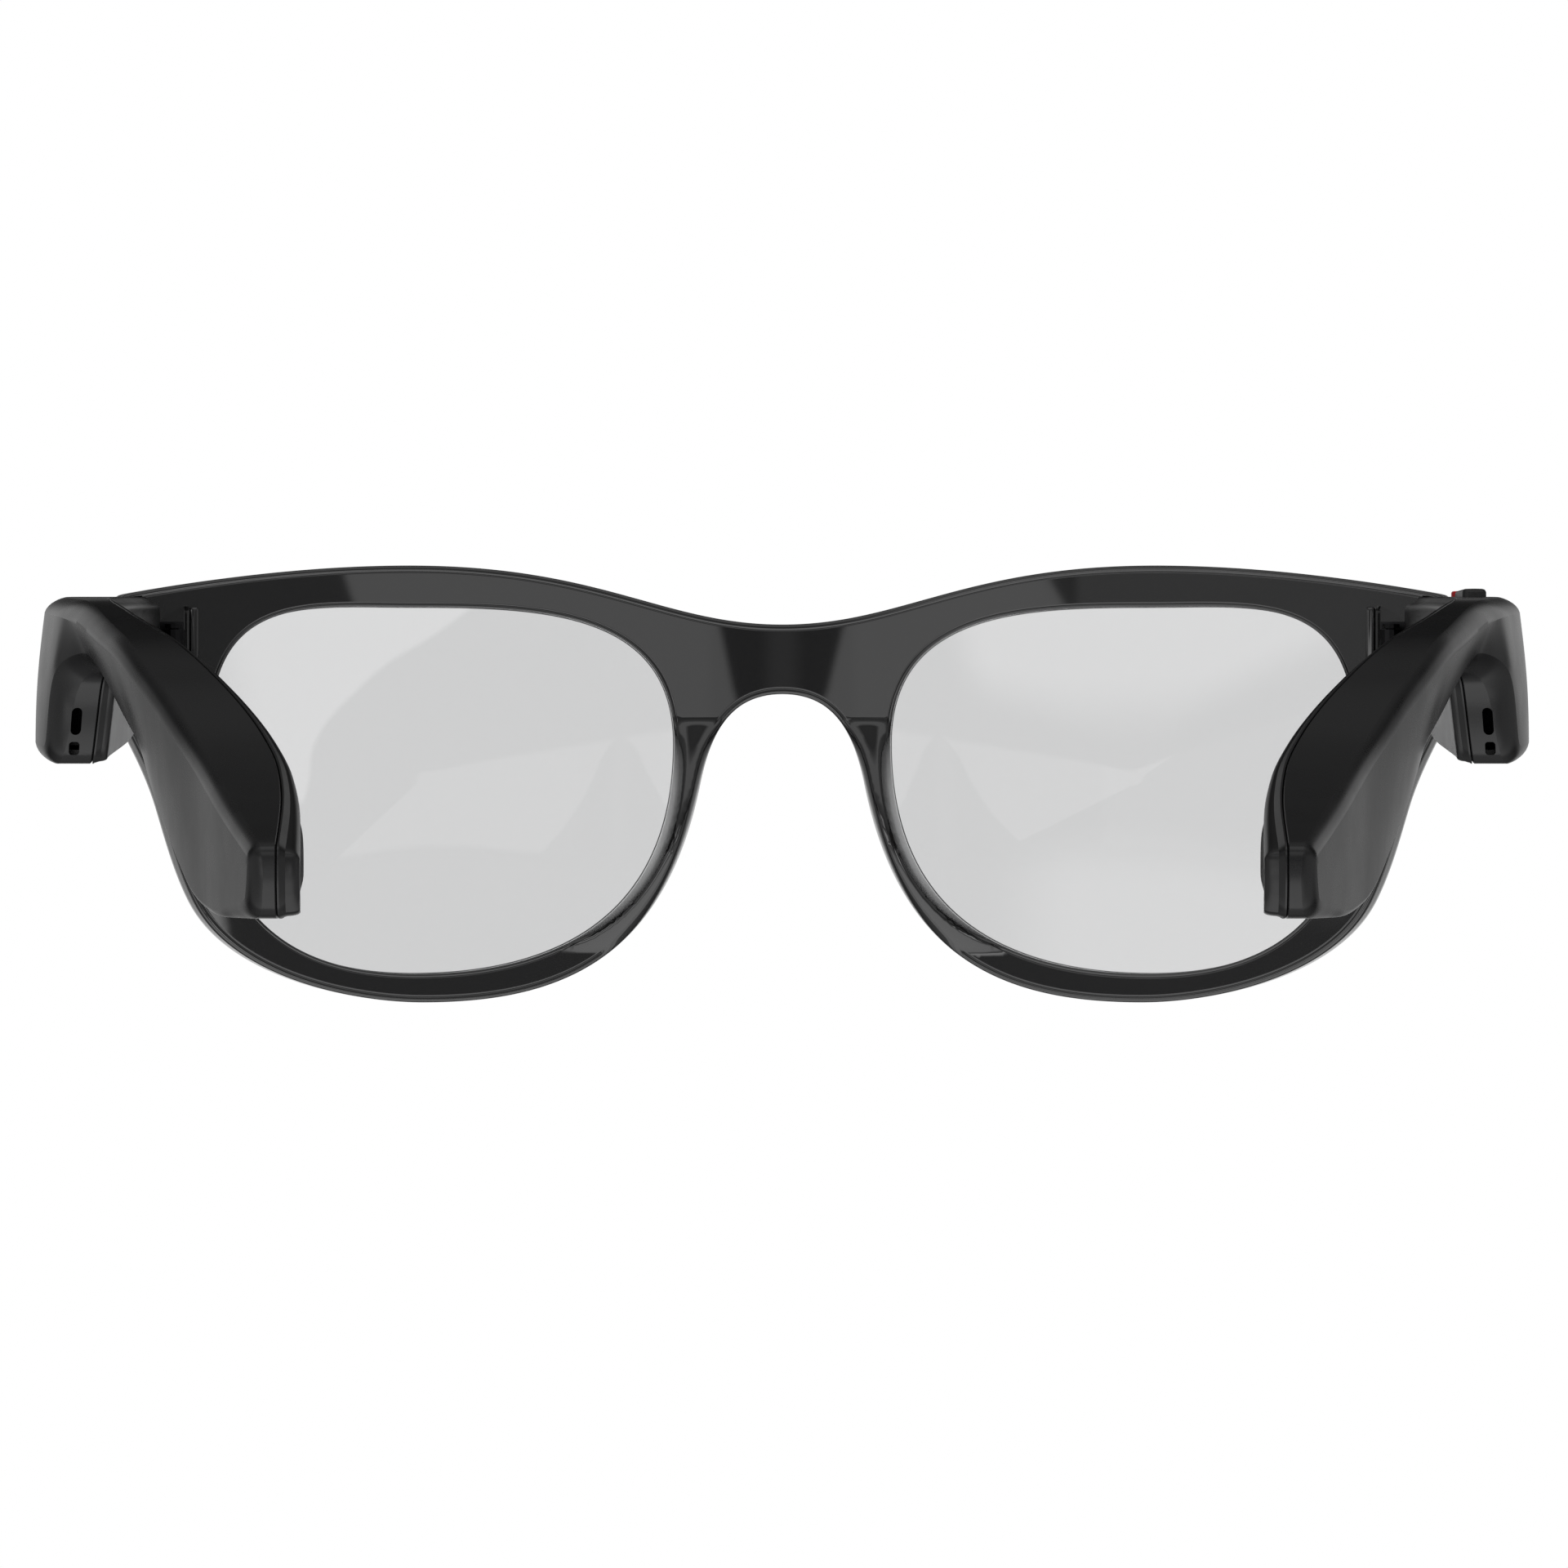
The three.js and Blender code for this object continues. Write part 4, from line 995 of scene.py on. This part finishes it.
cards = ((card((-0.3206, -1.98, 0.019), (-0.0357, -1.46, 0.0083)), 0.74),
         (card((0.0329, 1.75, 0.0083), (0.2198, -3.85, 0.019)), 0.78),
         (times(window, inverse(smooth(off_axis, 0.003, 0.02))), 0.12),
         (times(window, inverse(smooth(off_axis, 0.05, 0.06))), -0.06),
         (times(window, smooth(azimuth, 0.22, 0.23)), 0.2),
         (lens_patch, 1.9), (low_patch, 1.4), (high_patch, 1.8))
rear = profile(1.4, 0.5, (-32, 1.4), (-20, 0.4), (-12, 0.17), (8, 0.17), (25, 0.4), (32, 0.8), (48, 0.8),
               (54, 0.15))
for shape, strength in cards:
    rear = op("ADD", rear, op("MULTIPLY", shape, strength))
sides = profile(1.5, 0.5, (-30, 0.5), (-12, 0.42), (12, 0.42), (25, 0.2), (40, 0.3), (60, 0.6))
fore = profile(0.5, 0.5, (-30, 0.1), (-17, 0.03), (-3, 0.34), (6, 0.22), (16, 0.02), (38, 0.01), (55, 0.2),
               (75, 0.2))
for glow in (times(smooth(off_axis, 2.65, 2.95), inverse(smooth(op("ABSOLUTE", elevation), 0.09, 0.25)), 0.4),
             times(smooth(off_axis, 2.25, 2.4), inverse(smooth(off_axis, 2.8, 2.95)),
                   smooth(elevation, 0.05, 0.2), inverse(smooth(elevation, 0.45, 0.6)), 0.6)):
    fore = op("ADD", fore, glow)
total = op("ADD", op("ADD", times(ahead, fore), times(beside, sides)), times(behind, rear))
mix.data_type = "FLOAT"
direct = op("MAXIMUM", path.outputs["Is Camera Ray"], path.outputs["Is Transmission Ray"])
sky.links.new(direct, mix.inputs[0])
sky.links.new(total, mix.inputs[2])
mix.inputs[3].default_value = 1.0
background = sky.nodes["Background"]
background.inputs["Color"].default_value = (1, 1, 1, 1)
sky.links.new(mix.outputs[0], background.inputs["Strength"])


# ---------------------------------------------------------------- floor and light
def pale_floor():
    """plain floor, seen from above only, because the camera sits about 50 mm below its level"""
    half_side = 4
    me = bpy.data.meshes.new("floor")
    corners = [(x * half_side, y * half_side, 0) for x, y in ((-1, -1), (1, -1), (1, 1), (-1, 1))]
    me.from_pydata(corners, [], [(0, 1, 2, 3)])
    m = bpy.data.materials.new("pale_floor")
    m.use_nodes = True
    nt = m.node_tree
    pale = nt.nodes["Principled BSDF"]
    pale.inputs["Base Color"].default_value = (0.8, 0.8, 0.8, 1)
    pale.inputs["Roughness"].default_value = 0.8
    pale.inputs["Emission Color"].default_value = (1, 1, 1, 1)
    pale.inputs["Emission Strength"].default_value = 0.6
    geo, clear, blend = (nt.nodes.new(k) for k in (
        "ShaderNodeNewGeometry", "ShaderNodeBsdfTransparent", "ShaderNodeMixShader"))
    nt.links.new(geo.outputs["Backfacing"], blend.inputs["Fac"])
    nt.links.new(pale.outputs["BSDF"], blend.inputs[1])
    nt.links.new(clear.outputs["BSDF"], blend.inputs[2])
    nt.links.new(blend.outputs["Shader"], nt.nodes["Material Output"].inputs["Surface"])
    me.materials.append(m)
    ob = bpy.data.objects.new("floor", me)
    scene.collection.objects.link(ob)
    ob.visible_glossy = False


def overhead_light():
    """one large soft light, almost straight above"""
    light = bpy.data.lights.new("overhead", "AREA")
    light.shape, light.size, light.size_y, light.energy = "RECTANGLE", 1.2, 1.2, 1.5
    angle = math.radians(80)
    at = Vector((0, math.cos(angle), math.sin(angle))) * 1.6
    ob = bpy.data.objects.new("overhead", light)
    aim = at.to_track_quat("Z", "Y").to_matrix().to_4x4()
    ob.matrix_world = Matrix.Translation(at + Vector((0, 0, 0.03))) @ aim
    ob.visible_camera = False
    scene.collection.objects.link(ob)


pale_floor()
overhead_light()
